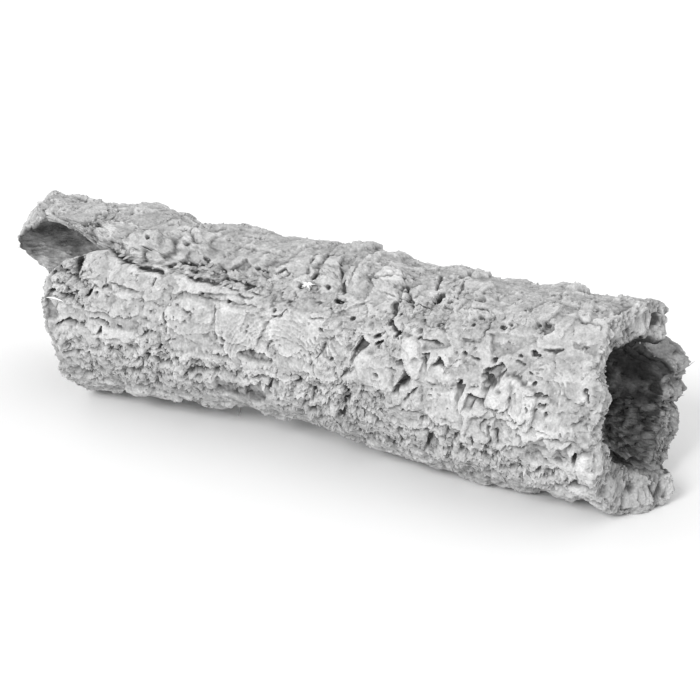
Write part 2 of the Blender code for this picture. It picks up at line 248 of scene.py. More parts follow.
def wedge(u, v, height):
    # a three-cornered ramp: it rises or sinks and widens evenly along its direction, up to a steep wall
    t = np.clip((u + 1.0) / 2.0, 0.0, 1.0)
    wall = 1.0 - smoothStep(0.93, 1.02, u)
    side = 1.0 - smoothStep(0.82, 1.0, np.abs(v) / (0.15 + 0.85 * t))
    return height * t * wall * side


def softOval(u, v, strength):
    # full in the middle half of an oval, with an S curve down over its edge
    return strength * (1.0 - smoothStep(0.5, 1.2, np.hypot(u, v)))


def flatOval(u, v, strength):
    # the same with more of it full
    return strength * (1.0 - smoothStep(0.6, 1.15, np.hypot(u, v)))


def ringed(x, angle, centerX, centerAngle, long, wide, spacing, height):
    # growth rings round a centre: a quick rise and a slow fall over each spacing, strongest half way out
    along, across = turnedOffsets(x, angle, centerX, centerAngle, 0)
    away = np.hypot(along / long, across / wide)
    ring = away * long / spacing
    saw = ring - np.floor(ring)
    return height * (smoothStep(0.0, 0.3, saw) - saw) * 4.0 * away * np.clip(1.0 - away, 0.0, 1.0)


def fissure(x, angle, points, halfWidth, depth, variation):
    # a sharp groove: its depth falls off with the distance from a broken line, and tapers at its ends
    nearest = 99.0
    runs = len(points) - 1
    for run, ((startX, startAngle), (endX, endAngle)) in enumerate(zip(points, points[1:])):
        along, across = turnedOffsets(x, angle, startX, startAngle, 0)
        stepX = endX - startX
        stepY = (endAngle - startAngle) * tube["arc"]
        t = np.clip((along * stepX + across * stepY) / (stepX ** 2 + stepY ** 2), 0.0, 1.0)
        way = (run + t) / runs
        taper = 0.45 + 0.55 * np.sqrt(4.0 * way * (1.0 - way))
        nearest = np.minimum(nearest, np.hypot(along - t * stepX, across - t * stepY) / taper)
    return -depth * np.clip(1.0 - nearest / (halfWidth * variation), 0.0, 1.0) ** 0.75


def place(x, angle, radius):
    # the point at a distance from the bore's axis
    turn = np.radians(angle)
    height = tube["axisHeight"] + radius * np.sin(turn)
    return np.stack((x + tube["waistToMiddle"], -radius * np.cos(turn), height), axis=-1)


# The bark's relief. Features are (x, angle, half length, half width, turn, height).
bark = {
    "plates": ((-127, 42, 11, 9.5, -8, 1.8), (-103, 37, 15, 9, -4, 1.1), (-70, 23, 13.5, 10, 0, 0.8),
               (-41, 23.5, 14, 10.5, 0, 1.1), (-2, 25, 22, 13, -3, 0.9), (31, 63, 7.5, 18, 8, 1.5),
               (38, 14, 10, 9, 10, 1.1), (-134, -6, 16, 7.5, 0, 1.6), (-107, 0, 12, 8, 0, 1.5),
               (152.5, -14, 4.8, 7.5, 0, 3.0), (-127, 68, 14, 8, -10, 1.4), (-106, 62, 13, 9, -6, 1.7),
               (80, 2, 13, 9, 0, 1.5), (66, 35, 18, 8, -12, 1.4), (133, 38, 16, 9, 0, 0.5),
               (-30, 6, 9, 3.2, 0, -2.4), (101, 24, 6, 6, 0, -3.6), (-153, 12, 5, 7, 0, -1.6),
               (96, -3, 8, 9.5, 0, 2.2), (-80, -8, 12, 6, 0, 1.2), (57, 27, 5.5, 10, 15, 1.7),
               (113, 13, 12, 10.5, -8, 3.4), (-51, -27, 6.5, 8, 0, -2.4), (-35, -27, 6, 8, 0, -2.2),
               (-128, 106, 7, 14, 0, 1.2), (2, 107, 5, 13, 0, 1.4), (68, 108, 4, 12, 0, 2.0),
               (119, 108, 4, 12, 0, 2.2), (142, 107, 3, 12, 0, 1.6), (-118, 22, 20, 7, 0, 1.4),
               (-66, -4, 10, 5, 0, 1.4), (8, 8, 9, 8, 0, 1.0), (22, -4, 9, 6, 0, 1.4),
               (-120, 150, 24, 12, 6, 2.2), (-62, 168, 21, 14, -5, 2.4), (-12, 148, 19, 13, 4, 2.0),
               (40, 172, 20, 13, -4, 2.6), (92, 150, 20, 12, 8, 2.2), (134, 176, 16, 11, 0, 2.0),
               (-150, 186, 16, 12, 8, 2.0), (-96, 208, 22, 12, -6, 2.4), (-40, 212, 19, 13, 5, 2.2),
               (14, 216, 18, 12, -6, 2.4), (66, 214, 21, 13, 4, 2.4), (118, 222, 18, 12, -4, 2.4)),
    "lips": ((131, 12, 13.5, 17, -90, 5.0), (-66, 52, 12, 22, -80, 2.6), (14, 56, 9, 12, -60, 1.6),
             (46, 58, 10, 8, -35, 2.2), (-14, 74, 16, 7, 10, 2.4), (-92, 76, 18, 9, 0, 2.2),
             (52, 22, 9, 7, -60, 2.4), (66, 78, 16, 9, 0, 2.0), (92, 18, 12, 9, -80, 2.8),
             (-118, 16, 12, 20, -90, 2.4), (105, 72, 16, 14, -20, 2.0), (-40, 4, 9, 24, -90, 1.8),
             (-80, 140, 15, 15, 60, 3.0), (18, 132, 14, 14, 120, 2.8), (84, 196, 15, 16, 95, 3.2),
             (-20, 190, 14, 15, 80, 2.8), (-128, 232, 13, 14, 100, 2.6), (44, 240, 12, 15, 90, 2.6)),
    "lumps": ((106, 17, 6.5, 7.5, 0, 4.4), (14.5, 82, 3, 20, 0, 2.0), (-148, 42, 4, 5, 40, 3.5),
              (152, 92, 7, 12, 0, 0.8), (-148, 30, 8, 4, 0, 2.0), (62, 8, 4, 7, 20, 1.8),
              (53.6, 13.2, 4.4, 1.0, 63, 2.6), (68, 25, 1.2, 5, 0, 1.5), (45, 66, 3, 10, -20, 1.8),
              (12, 72, 1.3, 13, -12, 1.7), (160, 178, 9, 8, 0, 3.5), (161, 196, 8, 8, 0, 3.0),
              (162, 214, 6, 7, 0, 2.2), (-182, 104, 16, 20, 0, -3.2), (-131, 113, 9, 12, 0, 1.8),
              (-98, 110, 20, 18, 0, -3.4), (-64, 113, 10, 14, 0, 2.4), (58, 113, 10, 14, 0, 2.4),
              (106, 113, 9, 12, 0, 1.6), (-88, 108, 7, 16, 0, -1.6), (12, 108, 6, 16, 0, -2.2),
              (34, 110, 12, 18, 0, -2.8), (-10, 108, 6, 16, 0, -1.4), (97, 110, 11, 18, 0, -2.2),
              (135, 110, 16, 18, 0, -2.4), (-34, -66, 7, 11, 0, 2.2), (10, -66, 7, 11, 0, 2.6),
              (61, -64, 10, 11, 0, -1.8), (142, -62, 9, 11, 0, -2.4), (72, 158, 8, 7, 0, 4.5),
              (-104, 176, 7, 8, 0, 4.0), (108, 204, 6, 7, 0, 4.2), (-8, 236, 8, 6, 0, 3.4),
              (-11, 60, 3.5, 3, 0, 2.4), (103.5, -8, 1.5, 6, 0, 2.0)),
    "pits": ((59.5, 66, 2.4, 4.6, -12, -5.5), (118.5, 57, 5.6, 4.4, 0, -2.4), (27, 85, 3.2, 1.8, -40, -5.0),
             (145, -13, 1.6, 4.4, -14, -5.0), (-141, 40, 2.0, 7.0, 5, -5.5),
             (-134, -16, 4.4, 2.0, 15, -5.0), (-122, 3.5, 1.6, 3.2, -25, -5.5),
             (-75, -18, 3.2, 2.0, 0, -4.5), (-25, -19, 2.8, 5.0, -15, -5.5), (104.5, 8, 3.2, 2.8, 0, -6.0),
             (98, 19, 2.6, 4.0, 0, -2.5), (-109, 134, 2.6, 4.6, 20, -5.0), (-36, 128, 3.6, 2.4, 0, -5.0),
             (54, 140, 2.6, 4.4, -15, -5.0), (-66, 188, 4.2, 2.4, 10, -5.5), (4, 172, 2.6, 4.6, 0, -5.5),
             (60, 190, 2.4, 4.4, 15, -5.5), (112, 172, 3.6, 2.6, 0, -5.0), (-128, 208, 3.6, 2.6, 0, -5.0),
             (32, 230, 4.2, 2.4, 0, -5.0), (84.5, 17, 1.3, 1.3, 0, -3.5), (-23.5, -13, 1.2, 3.2, 0, -3.5),
             (-38.5, -9, 2.6, 1.4, 12, -4.5), (-31.5, -9, 2.2, 1.2, 5, -4.0), (-44, -13, 1.8, 1.8, 0, -3.0),
             (3, -12, 1.6, 5.0, -10, -3.5), (-3, -20, 1.6, 5.0, -20, -3.5), (6.5, -5, 1.5, 2.5, 0, -3.5),
             (11, 49, 3.2, 1.2, 0, -4.5), (41.5, 43, 1.6, 2.0, 0, -4.0), (46.5, 37, 1.2, 2.6, -20, -4.0),
             (36.5, 33.5, 2.2, 1.2, 20, -3.5), (38.5, 30, 3.0, 1.1, 35, -4.0),
             (117.5, 41, 2.0, 1.4, -40, -4.0), (-133, 76.5, 2.4, 1.3, -20, -4.0),
             (-107.5, 66, 1.6, 1.0, -50, -3.0), (-27, 63, 1.0, 2.6, -25, -4.0),
             (-37, 61, 2.0, 0.9, -10, -3.0), (-7.5, 62.5, 1.1, 2.8, -15, -4.0),
             (-12, 54, 1.8, 1.1, 20, -3.5), (-78.5, 55.5, 3.2, 1.1, -5, -3.5),
             (-138, 23.5, 1.6, 1.6, 30, -3.5), (-130, 26, 1.4, 3.6, -40, -4.0),
             (-133, 5, 1.8, 1.3, 0, -3.5), (-110, 9.5, 2.0, 1.0, -20, -3.0), (-96, -19, 1.4, 1.2, 0, -3.0),
             (-87, -2, 1.2, 2.4, -30, -3.0), (-50, 12, 1.2, 2.6, -10, -4.0),
             (125.5, -28, 1.4, 4.0, -15, -3.5), (61.5, -17, 2.2, 1.8, -20, -3.5),
             (132, -31, 1.8, 1.6, 0, -3.5), (91, -26, 1.6, 2.0, 0, -3.0), (-62, -15.5, 3.4, 0.9, 0, -3.0),
             (121.5, 14, 1.1, 0.9, 0, -2.5), (84, 34, 1.2, 1.0, 0, -2.5), (98, 53, 2.2, 1.2, -20, -2.5),
             (-60, 90, 2.2, 3.0, 0, -3.0), (-77, 93, 1.4, 4.0, -25, -3.5), (61, 93, 1.2, 3.0, -15, -3.0),
             (81, 69, 3.4, 2.4, 0, -1.8), (-131, 90, 1.2, 2.2, -20, -3.0), (-49.5, 36.5, 1.4, 0.9, 0, -3.0),
             (-33, 8.5, 1.6, 1.2, 0, -2.5), (2.5, 74, 1.0, 0.9, 0, -2.5), (120, 40, 1.2, 1.0, 20, -2.5),
             (119, 30, 1.4, 0.8, 0, -2.5), (156, 17, 1.4, 0.8, 0, -2.5), (158, 14.5, 1.0, 1.0, 0, -2.5),
             (155, 11.5, 1.2, 0.8, 0, -2.5), (-6, -7, 2.0, 1.6, -20, -3.0), (70.5, 8, 1.4, 1.0, 10, -2.5),
             (128, 15.5, 2.2, 1.0, -10, -2.0)),
    "wedges": ((27, 21.5, 8.5, 3.4, 66, -7.0), (51.5, 21.5, 3.6, 3.2, 30, -5.5),
               (55, 12.5, 6.4, 3.4, 57, -7.5), (71.5, 25.5, 3.6, 3.4, 40, -7.0),
               (65.5, 25, 5.0, 2.2, 100, -2.6), (84.5, 10, 5.5, 2.8, 85, -4.5), (90, 6, 6.4, 3.2, 74, -4.5),
               (-45, 58, 9, 6, 150, -1.8), (106, 44, 12, 9, 200, -2.0), (66, 44, 10, 8, -70, -1.8),
               (-112, 62, 12, 8, 20, 1.6), (92, 66, 14, 10, 190, 1.6), (46, 6, 9, 6, -60, 2.0),
               (-80, 70, 10, 9, 160, 1.6), (125, 74, 12, 10, 10, 1.8), (-140, 128, 9, 5, 60, -4.0),
               (20, 146, 9, 5, 120, -4.5), (96, 186, 8, 5, 40, -4.5), (-84, 170, 8, 5, 100, -4.5),
               (-30, 222, 9, 5, 70, -4.5), (70, 236, 8, 5, 110, -4.0)),
    # the points (x, angle) that each fissure runs through, its half width and its depth
    "fissures": ((((-130, 55.5), (-121, 52), (-118, 51), (-112, 48), (-104, 46.5)), 1.0, 2.2),
                 (((-106, 46), (-101, 47.5), (-96, 47), (-91, 46)), 1.6, 4.0),
                 (((-90, 51), (-86, 53.5), (-80, 56.5), (-75, 55.5), (-66, 56)), 1.5, 3.0),
                 (((-74, 47), (-67, 46.5), (-60, 47.5), (-55, 50), (-46, 50.5), (-38, 49)), 2.0, 4.2),
                 (((-60, 57), (-57, 54), (-54, 50)), 1.2, 2.5),
                 (((-45, 43), (-40, 41.5), (-36, 42)), 1.0, 1.6),
                 (((-66, 37), (-58, 36), (-49, 36.5), (-40, 38), (-33, 37)), 0.7, 1.2),
                 (((-17, 38), (-18, 34.5), (-23, 33.5)), 0.9, 2.2),
                 (((-22, 34), (-25, 28), (-27, 22), (-29, 15)), 1.0, 0.9),
                 (((-20.5, 19.5), (-23, 16), (-23.5, 12)), 0.8, 1.5),
                 (((-56, 33), (-55, 26), (-54, 18), (-54, 11)), 0.7, 1.0),
                 (((-84, 22), (-83.5, 17), (-83, 11)), 1.0, 3.2), (((-51, 8), (-46, 3)), 1.2, 2.4),
                 (((-54, 2), (-47, 1), (-39, 0)), 1.3, 3.0), (((24, 14), (22, 9), (20, 5)), 1.0, 2.0),
                 (((5, 71), (8, 64), (10, 58), (12, 55)), 1.2, 2.4),
                 (((40, 71), (44, 65), (47, 60), (50, 55)), 1.6, 3.0),
                 (((40, 56), (41, 50), (41.5, 45), (44, 41), (46.5, 37), (48, 34)), 1.3, 3.4),
                 (((147.5, 27), (148, 24), (150, 21)), 1.0, 2.6),
                 (((148, 75), (149, 82), (151, 90)), 2.4, 1.8), (((10, 24), (7, 17), (5, 14)), 1.0, 1.8),
                 (((57, 1), (60, 7), (63, 11)), 1.2, 2.6), (((50, 4), (53, 8), (57, 12)), 1.6, 3.4),
                 (((90, 10), (95, 11), (100, 10), (107, 11)), 1.6, 4.0),
                 (((102.5, -1), (102, -5), (103, -13)), 1.3, 3.0), (((105, -4), (105.5, -12)), 1.0, 2.0),
                 (((116, -4), (122, -4.5), (128, -3), (133, 0), (139, 0)), 2.0, 4.2),
                 (((103, -21), (108, -16), (112, -13.5), (119, -12.5)), 1.2, 2.6),
                 (((117, 1), (120, 6), (122, 10)), 1.0, 2.0), (((113, 9), (115, 4)), 0.9, 1.8),
                 (((120, 20), (125, 20), (130, 19)), 1.0, 2.0),
                 (((122, 44), (127, 43.5), (131, 46)), 1.1, 2.4), (((110, 35), (115, 33)), 0.9, 1.8),
                 (((-156, 20), (-152, 22), (-146, 20.5), (-141, 20)), 1.8, 4.5),
                 (((-149, 1.5), (-145, 4.5), (-137, 4.5)), 1.4, 3.4),
                 (((-128, 10.5), (-121, 9), (-117, 9.5)), 1.2, 3.0),
                 (((-150, -17), (-143, -18), (-137, -17)), 1.2, 2.4),
                 (((-102, -12), (-92, -9.5), (-82, -9), (-72, -4), (-64, -3)), 1.1, 2.0),
                 (((-83, 4), (-77, 6.5)), 1.1, 2.2),
                 (((18, -21), (20, -15), (23, -13), (28, -11.5)), 1.4, 3.2),
                 (((-145, 36), (-141, 33), (-138, 31)), 1.2, 2.6),
                 (((-15, 82), (-14, 74), (-13, 64)), 2.0, 1.7), (((-9, 84), (-8, 74), (-7, 64)), 2.2, 2.0),
                 (((-90, 92), (-89, 80), (-83, 72), (-79, 70)), 1.7, 2.6),
                 (((-72, 63), (-69, 59), (-67, 56)), 1.1, 2.4), (((51, 92), (54, 80), (56, 72)), 1.6, 2.6),
                 (((67, 86), (68, 76), (67.5, 70)), 1.3, 2.0),
                 (((-62, 66), (-58, 76), (-55, 88)), 1.8, 0.9),
                 (((-48, 58), (-45, 70), (-41, 85)), 1.5, 0.8),
                 (((-31, 66), (-28, 76), (-23, 88)), 1.8, 1.0), (((72, 58), (76, 72), (80, 88)), 1.8, 0.8),
                 (((102, 50), (106, 62), (111, 78)), 1.8, 0.9),
                 (((127, 70), (131, 84), (135, 96)), 2.0, 1.1),
                 (((-118, 58), (-115, 70), (-110, 86)), 1.6, 0.8),
                 (((-150, 68), (-146, 80), (-142, 94)), 2.0, 1.0),
                 (((60, 82), (63, 96), (64, 108)), 2.0, 1.2),
                 (((-172, 80), (-166, 96), (-160, 108)), 2.0, 1.2), (((-105, 57), (-103, 51)), 1.0, 2.0),
                 (((-148, 78), (-146, 74), (-141, 70), (-139, 67)), 1.2, 2.6),
                 (((134, 65), (140, 66), (144.5, 65), (145, 61)), 0.8, 1.2),
                 (((-93, 42), (-93, 37)), 1.0, 1.6), (((-118, 34), (-111, 32), (-100, 31.5)), 0.9, 1.4),
                 (((-34, 9), (-35, 5)), 1.6, 2.8),
                 (((-180, 158), (-150, 166), (-112, 160), (-86, 152)), 2.8, 6.5),
                 (((-78, 186), (-44, 194), (-16, 180), (14, 186)), 2.8, 6.5),
                 (((16, 156), (44, 150), (74, 158), (104, 152)), 2.6, 6.0),
                 (((58, 196), (92, 204), (128, 198), (158, 205)), 2.8, 6.0),
                 (((-142, 218), (-112, 226), (-76, 222)), 2.6, 5.5),
                 (((-60, 232), (-22, 226), (20, 232), (52, 226)), 2.6, 5.5)),
    # crumbling bark: the same order as a feature, with how strong it is instead of a height
    "crumbling": ((-75, -9, 70, 9, 0, 0.8), (18, -8, 34, 15, 0, 0.9), (70, -34, 110, 16, 0, 0.9),
                  (-140, 30, 18, 16, 0, 0.9), (-60, 52, 40, 7, 0, 0.7), (26, 47, 20, 11, 0, 0.8),
                  (86, 45, 36, 24, 0, 0.45), (140, 2, 22, 22, 0, 0.4), (-95, -28, 60, 14, 0, 0.7),
                  (-150, 62, 22, 12, 0, 0.6), (130, 84, 26, 18, 0, 0.5)),
    # smooth bark, in the same way: the strength takes crumbling away
    "smooth": ((-70, 24, 24, 14, 0, 0.9), (-42, 23, 18, 13, 0, 1.0), (-4, 27, 24, 18, -8, 1.0),
               (38, 12, 12, 12, 0, 0.7), (-104, 36, 22, 11, -6, 0.7), (25, 62, 16, 26, 0, 1.0),
               (-40, 82, 62, 20, 0, 0.6), (66, 30, 14, 10, 0, 0.6), (-190, 96, 18, 20, 0, 0.8),
               (138, 60, 14, 10, 0, 0.5), (128, 8, 12, 10, 0, 0.5), (80, 0, 16, 10, 0, 0.8),
               (152.5, -14, 7, 11, 0, 1.0), (-43, -27, 22, 11, 0, 1.0), (112, 13, 15, 13, 0, 1.0),
               (97, -3, 9, 10, 0, 0.9), (124, 34, 32, 26, 0, 0.75), (136, -8, 12, 10, 0, 0.6),
               (90, 42, 26, 14, 0, 0.4), (38, 45, 8, 10, 0, 0.4), (57, 27, 8, 12, 0, 1.0),
               (96, 84, 60, 18, 0, 0.5), (-120, 40, 22, 10, -4, 0.5)),
    # paler and darker bark, in the same way
    "pale": ((106, 17, 7, 8, 0, 0.7), (-50, 24, 42, 15, 0, 0.4), (-4, 26, 28, 20, 0, 0.35),
             (-104, 36, 20, 11, -6, 0.1), (-130, 44, 12, 10, 0, -0.5), (-188, 100, 14, 22, 0, 0.8),
             (24, 66, 12, 22, 0, 0.5), (140, 46, 22, 22, 0, 0.5), (124, 10, 14, 12, 0, 0.8),
             (151, -14, 5, 8, 0, 1.0), (80, 2, 16, 12, 0, 0.4), (-165, 110, 14, 22, 0, -0.5),
             # (-43, -26): painted shade in the recess low on the front
             (-60, 96, 60, 14, 0, -0.4), (-43, -26, 17, 9, 0, -2.2), (-10, -30, 40, 8, 0, -0.8),
             # (160, 184): painted shade on the back of the near end, the side away from the light
             (160, 184, 26, 60, 0, -1.3), (-100, -30, 60, 16, 0, -0.8), (40, -34, 90, 16, 0, -0.8),
             (110, 62, 12, 8, 0, -0.4)),
    # growth rings (x, angle, long, wide, spacing, height)
    "rings": ((-16, 2, 46, 46, 2.3, 0.75), (22, 58, 34, 34, 2.4, 0.6), (-30, 96, 44, 30, 3.4, 0.45),
              (62, 4, 26, 22, 2.3, 0.5), (124, 18, 24, 24, 2.4, 0.5), (-50, 8, 40, 34, 2.6, 0.45),
              (-120, 80, 40, 24, 3.2, 0.4), (-60, 190, 50, 36, 3.0, 0.6), (40, 160, 44, 30, 2.7, 0.5),
              (100, 220, 40, 30, 3.1, 0.5)),
    "meanRelief": 1.0,
    "cellSize": (30.0, 17.0),
    "cellWander": 3.0,
    "cellStep": 2.4,
    "cellTilt": 3.2,
    "cellGapEdge": (0.03, 0.2),  # where a gap's wall starts and ends, in cells
    "cellGapDepth": 2.8,
    "smallCellSize": (11.0, 6.5),
    "smallCellShift": 40,
    "smallCellWander": 2.0,
    "smallCellStep": 0.9,
    "smallCellGapEdge": (0.02, 0.22),
    "smallCellGapDepth": 1.2,
    "chunks": (12.0, 83, 0.0),  # size, shift, share fallen out
    "chunkShare": 0.2,
    "crumblyNoise": (6.0, 33),
    "layer": 1.1,  # thickness of a year's growth of cork
    "layerEdge": 0.6,
    "fallen": 0.14,
    # noises by name (height, width, shift), where the shift picks a noise of its own
    "noises": {
        "wander": (1.1, 7.0, 1), "drift": (1.1, 7.0, 2), "variation": (0.8, 4.5, 54),
        "crumblyEdge": (0.3, 9.0, 31), "grit": (0.16, 3.1, 57), "fineGrit": (0.15, 1.3, 42),
        "broadTone": (0.35, 30.0, 58), "smallTone": (0.2, 11.0, 59), "boreLumps": (0.45, 4.5, 43),
        "boreGrit": (0.2, 1.8, 44), "boreFloorEdge": (0.4, 9.0, 81), "breakLumps": (1.2, 9.0, 9),
        "breakGrit": (0.5, 3.4, 46), "blockWander": (0.5, 11.0, 71), "blockJag": (0.12, 2.5, 72),
        "blockEdge": (1.2, 3.0, 74), "breakLayers": (0.6, 1.5, 47), "holeEdge": (0.3, 3.0, 73),
        # the last two noises edge and mottle the bore's painted light
        "paintedLightEdge": (0.6, 7.0, 49), "paintedLightPatches": (0.5, 11.0, 82),
    },
    # soft patches by name (start and end of the S curve, width and shift of its noise)
    "patches": {
        "crumbly": (0.0, 0.5, 26.0, 30), "openGaps": (-0.3, 0.5, 22.0, 8),
        "smallCells": (-0.25, 0.45, 15.0, 32), "layers": (-0.35, 0.35, 18.0, 34),
        "acrossCracks": (0.25, 0.5, 12.0, 36), "alongCracks": (0.1, 0.5, 14.0, 38),
    },
    # zones by name: the value, in millimetres along x, degrees or a sine, where an effect starts and is full
    "zones": {
        "unseenTop": (95, 125), "unseenFoot": (-35, -60), "roughFoot": (10, -14), "roughNearEnd": (30, 70),
        "roughTop": (125, 95), "boreFlare": (-90, -180), "earStart": (42, 60), "earEnd": (85, 120),
        "earPart": (-122, -148), "backStart": (95, 130), "backEnd": (205, 235), "farLean": (-190, -232),
        # two zones below place the near end's painted shade, and four the bore's painted light
        "nearLean": (120, 150), "paintedShadePart": (60, 120), "paintedShadeSide": (0.2, -0.5), "boreFloor": (0.0, -0.6),
        "paintedLightFloor": (0.1, -0.7), "paintedLightBack": (158, 188), "paintedLightTop": (100, 80), "paintedLightPart": (-110, -150),
        "earRimPart": (-112, -140), "earRimStart": (48, 56), "earRimEnd": (72, 92), "nearRimPart": (110, 130),
        "nearRimStart": (118, 130), "nearRimEnd": (150, 168),
    },
    # weights by name (the least, and how much more it gets with what it depends on)
    "weights": {
        "crumbly": (0.12, 0.4), "cells": (0.15, 0.85), "rough": (0.1, 0.9), "smallCells": (0.05, 0.55),
        "crumblyNoise": (0.2, 0.45), "chunks": (0.3, 0.7), "layers": (0.9, -0.5), "crumbs": (0.08, 0.92),
        # the last weight here sets the painted light in the far end's bore
        "boreCrumbs": (0.2, 0.5), "boreFineCrumbs": (0.35, 0.6), "farPaintedLight": (0.25, 0.9),
    },
    # jagged edges: the width and shifts of their noise, and how far it moves features and warps crumbs
    "jagWidth": 2.3,
    "jagShifts": (51, 52, 53),
    "jag": 0.8,
    "warp": 0.9,
    "pitJag": 0.5,
    "pitWander": 0.6,
    "ringWander": 2.0,
    "layerJag": 0.3,
    "roughNearShare": 0.15,
    "billowMiddle": 0.3,
    "hollowEdge": (0.16, 0.36),
    # noises of several widths for one form (width, height, shift)
    "swellings": ((34.0, 1.6, 3), (13.0, 1.3, 4)),
    "billows": ((17.0, 3.0, 90), (8.0, 1.0, 91)),
    "hollows": ((6.0, 3.2, 94), (3.2, 1.6, 95), (12.0, 4.2, 96)),
    "crumbs": ((4.2, 0.26, 60), (2.3, 0.42, 61), (1.3, 0.55, 62)),
    "breakCrumbs": ((4.2, 0.25, 66), (2.3, 0.4, 67), (1.3, 0.5, 68)),
    "boreNoise": ((26.0, 0.9, 6), (10.0, 0.5, 7)),
    "boreStretch": (0.4, 1.0, 1.0),
    # hairlines (width, shift, stretch, half width) and how deep they are
    "acrossCracks": (30.0, 35, (1.7, 1.0, 1.0), 0.6),
    "alongCracks": (24.0, 37, (0.45, 1.0, 1.0), 0.9),
    "crackDepths": (1.0, 2.0),
    # pits strewn over the bark (cell size, shift, share of cells, largest radius, depth)
    "strewnPits": (9.0, 50, 0.25, 1.5, 1.8),
    "crumblyPits": (5.2, 80, 0.4, 1.7, 2.6),
    # streaks round and along smooth bark (width, shift, stretch), and their heights
    "roundStreaks": (2.1, 55, (1.0, 0.25, 0.25)),
    "alongStreaks": (1.5, 56, (0.4, 1.0, 1.0)),
    "streakHeights": (0.3, 0.14),
    # lobes on the near end (angle, half width in degrees, height)
    "nearLobes": ((166, 12, 2.6), (190, 9, 2.0), (212, 12, 2.4), (96, 13, 1.8), (262, 9, 2.2),
                  (284, 8, 1.6), (345, 11, 1.6), (20, 14, 1.0), (322, 8, -1.8), (240, 6, -1.8),
                  (140, 8, -1.5)),
    # a hole in the near end (angle, half width in degrees, share of the way in, half share, depth)
    "nearHole": (114, 3.6, 0.48, 0.17, 5.0),
    # straight-sided blocks on the near end (angle, half width in degrees, share, half share, height)
    "nearBlocks": ((-70, 3.2, 0.38, 0.2, 2.4), (-78.5, 4.6, 0.45, 0.14, 2.0), (-92, 6.0, 0.3, 0.16, 1.2),
                   (-104, 4.0, 0.6, 0.2, 1.2), (176, 8.0, 0.4, 0.25, 1.2)),
    "breakSwelling": 0.6,
    "breakSwellingNoise": (3.0, 48),
    "breakSquareness": 0.55,  # 1 rounds a broken end off, and less makes it squarer
    "blockLength": 15.0,  # round the wall
    "blockStep": 1.3,
    "blockCrack": 0.8,  # share of the step
    "blockCrackWidth": 0.09,  # share of a block
    "breakLayerStretch": (16.0, 0.2, 0.2),  # through the wall, round it and along the tube
    "breakFallen": 0.1,
    # the hollow behind the ear at the far end, and the growth rings in it
    "earHollow": 9.0,
    "earRings": (-172, 112, 60, 50, 3.4, 1.0),
    "undercut": 0.55,  # how far raised bark hangs down, as a share of its height
    # the bore's own crumbs (size, shift, share fallen out) and its cracks
    "boreCrumbs": (4.2, 64, 0.1),
    "boreFineCrumbs": (2.1, 65, 0.1),
    "boreCracks": (20.0, 45, (0.5, 1.0, 1.0), 1.2),
    "boreCrackDepth": 1.2,
    # finish: how deep into a broken end the bore's tone starts and is full, how much sooner it does at the
    # thin rims, how much painted shade darkens the near end's side away from the light, and the blurs
    # (rows, columns) that pick out small and wide hollows, for painted shade in them and painted highlights
    # on the raised bark between
    "boreEdge": (0.86, 0.99),
    "rimShift": (0.6, 0.55),
    "nearRimShare": 0.4,
    "paintedShadeTone": 0.75,
    "lightAngle": 45.0,  # the side of the tube that faces the light
    "fineShadeBlur": (3.5, 3.5),
    "wideShadeBlur": (16.0, 14.0),
    # grid: rows along the outside, over each broken end and along the bore, by rows round the tube
    "outsideRows": 800,
    "breakRows": 32,
    "boreRows": 180,
    "roundRows": 560,
    "sections": ("far", "farMiddle", "nearMiddle", "near"),
    "triangles": 187500,
}


def slopes(field, points):
    # steepness of a field on the grid, from its differences over the distances between the points
    alongStep = np.linalg.norm(np.gradient(points, axis=0), axis=-1) + 0.05
    wrapped = np.concatenate((points[:, -1:], points, points[:, :1]), axis=1)
    roundStep = np.linalg.norm(wrapped[:, 2:] - wrapped[:, :-2], axis=-1) / 2.0 + 0.05
    fieldWrapped = np.concatenate((field[:, -1:], field, field[:, :1]), axis=1)
    roundSlope = (fieldWrapped[:, 2:] - fieldWrapped[:, :-2]) / 2.0 / roundStep
    return np.hypot(np.gradient(field, axis=0) / alongStep, roundSlope)


def namedNoise(points, name):
    # one of the bark's noises
    height, width, shift = bark["noises"][name]
    return height * noise(points, width, shift)


def patches(points, name):
    # soft patches of 0 to 1: an S curve of a noise
    start, end, width, shift = bark["patches"][name]
    return smoothStep(start, end, noise(points, width, shift))


def weight(name, share):
    # the least of a weight, and its rise times a share
    least, rise = bark["weights"][name]
    return least + rise * share


def zone(name, value):
    # 0 outside a zone, 1 well inside it, and an S curve between
    return smoothStep(*bark["zones"][name], value)


def blurred(field, rows, columns):
    # Gaussian blur over the grid by Fourier transform, mirrored at the ends and closed round the tube
    mirrored = np.concatenate((field, field[::-1]), axis=0)
    waves = np.fft.rfft2(mirrored)
    alongWaves = np.fft.fftfreq(mirrored.shape[0])[:, None]
    roundWaves = np.fft.rfftfreq(mirrored.shape[1])[None, :]
    soften = np.exp(-2.0 * np.pi ** 2 * ((alongWaves * rows) ** 2 + (roundWaves * columns) ** 2))
    return np.fft.irfft2(waves * soften, s=mirrored.shape)[: field.shape[0]]


def layered(height, points, layer, edge, strength):
    # growth layers: the height's share of a layer becomes a steep S curve of a set width, so that it
    # stays level and then steps down to the next layer
    share = height / layer
    inside = share - np.floor(share)
    half = np.clip(0.5 * edge * slopes(share, points), 0.03, 0.5)
    stepped = layer * (np.floor(share) + smoothStep(0.5 - half, 0.5 + half, inside))
    return height + strength * (stepped - height)


def hairlines(points, width, shift, stretch, halfWidth):
    # thin cracks of even width along the zero line of a stretched noise
    field = noise(points, width, shift, stretch)
    away = np.abs(field) / (slopes(field, points) + 0.002)
    return np.clip(1.0 - away / halfWidth, 0.0, 1.0)


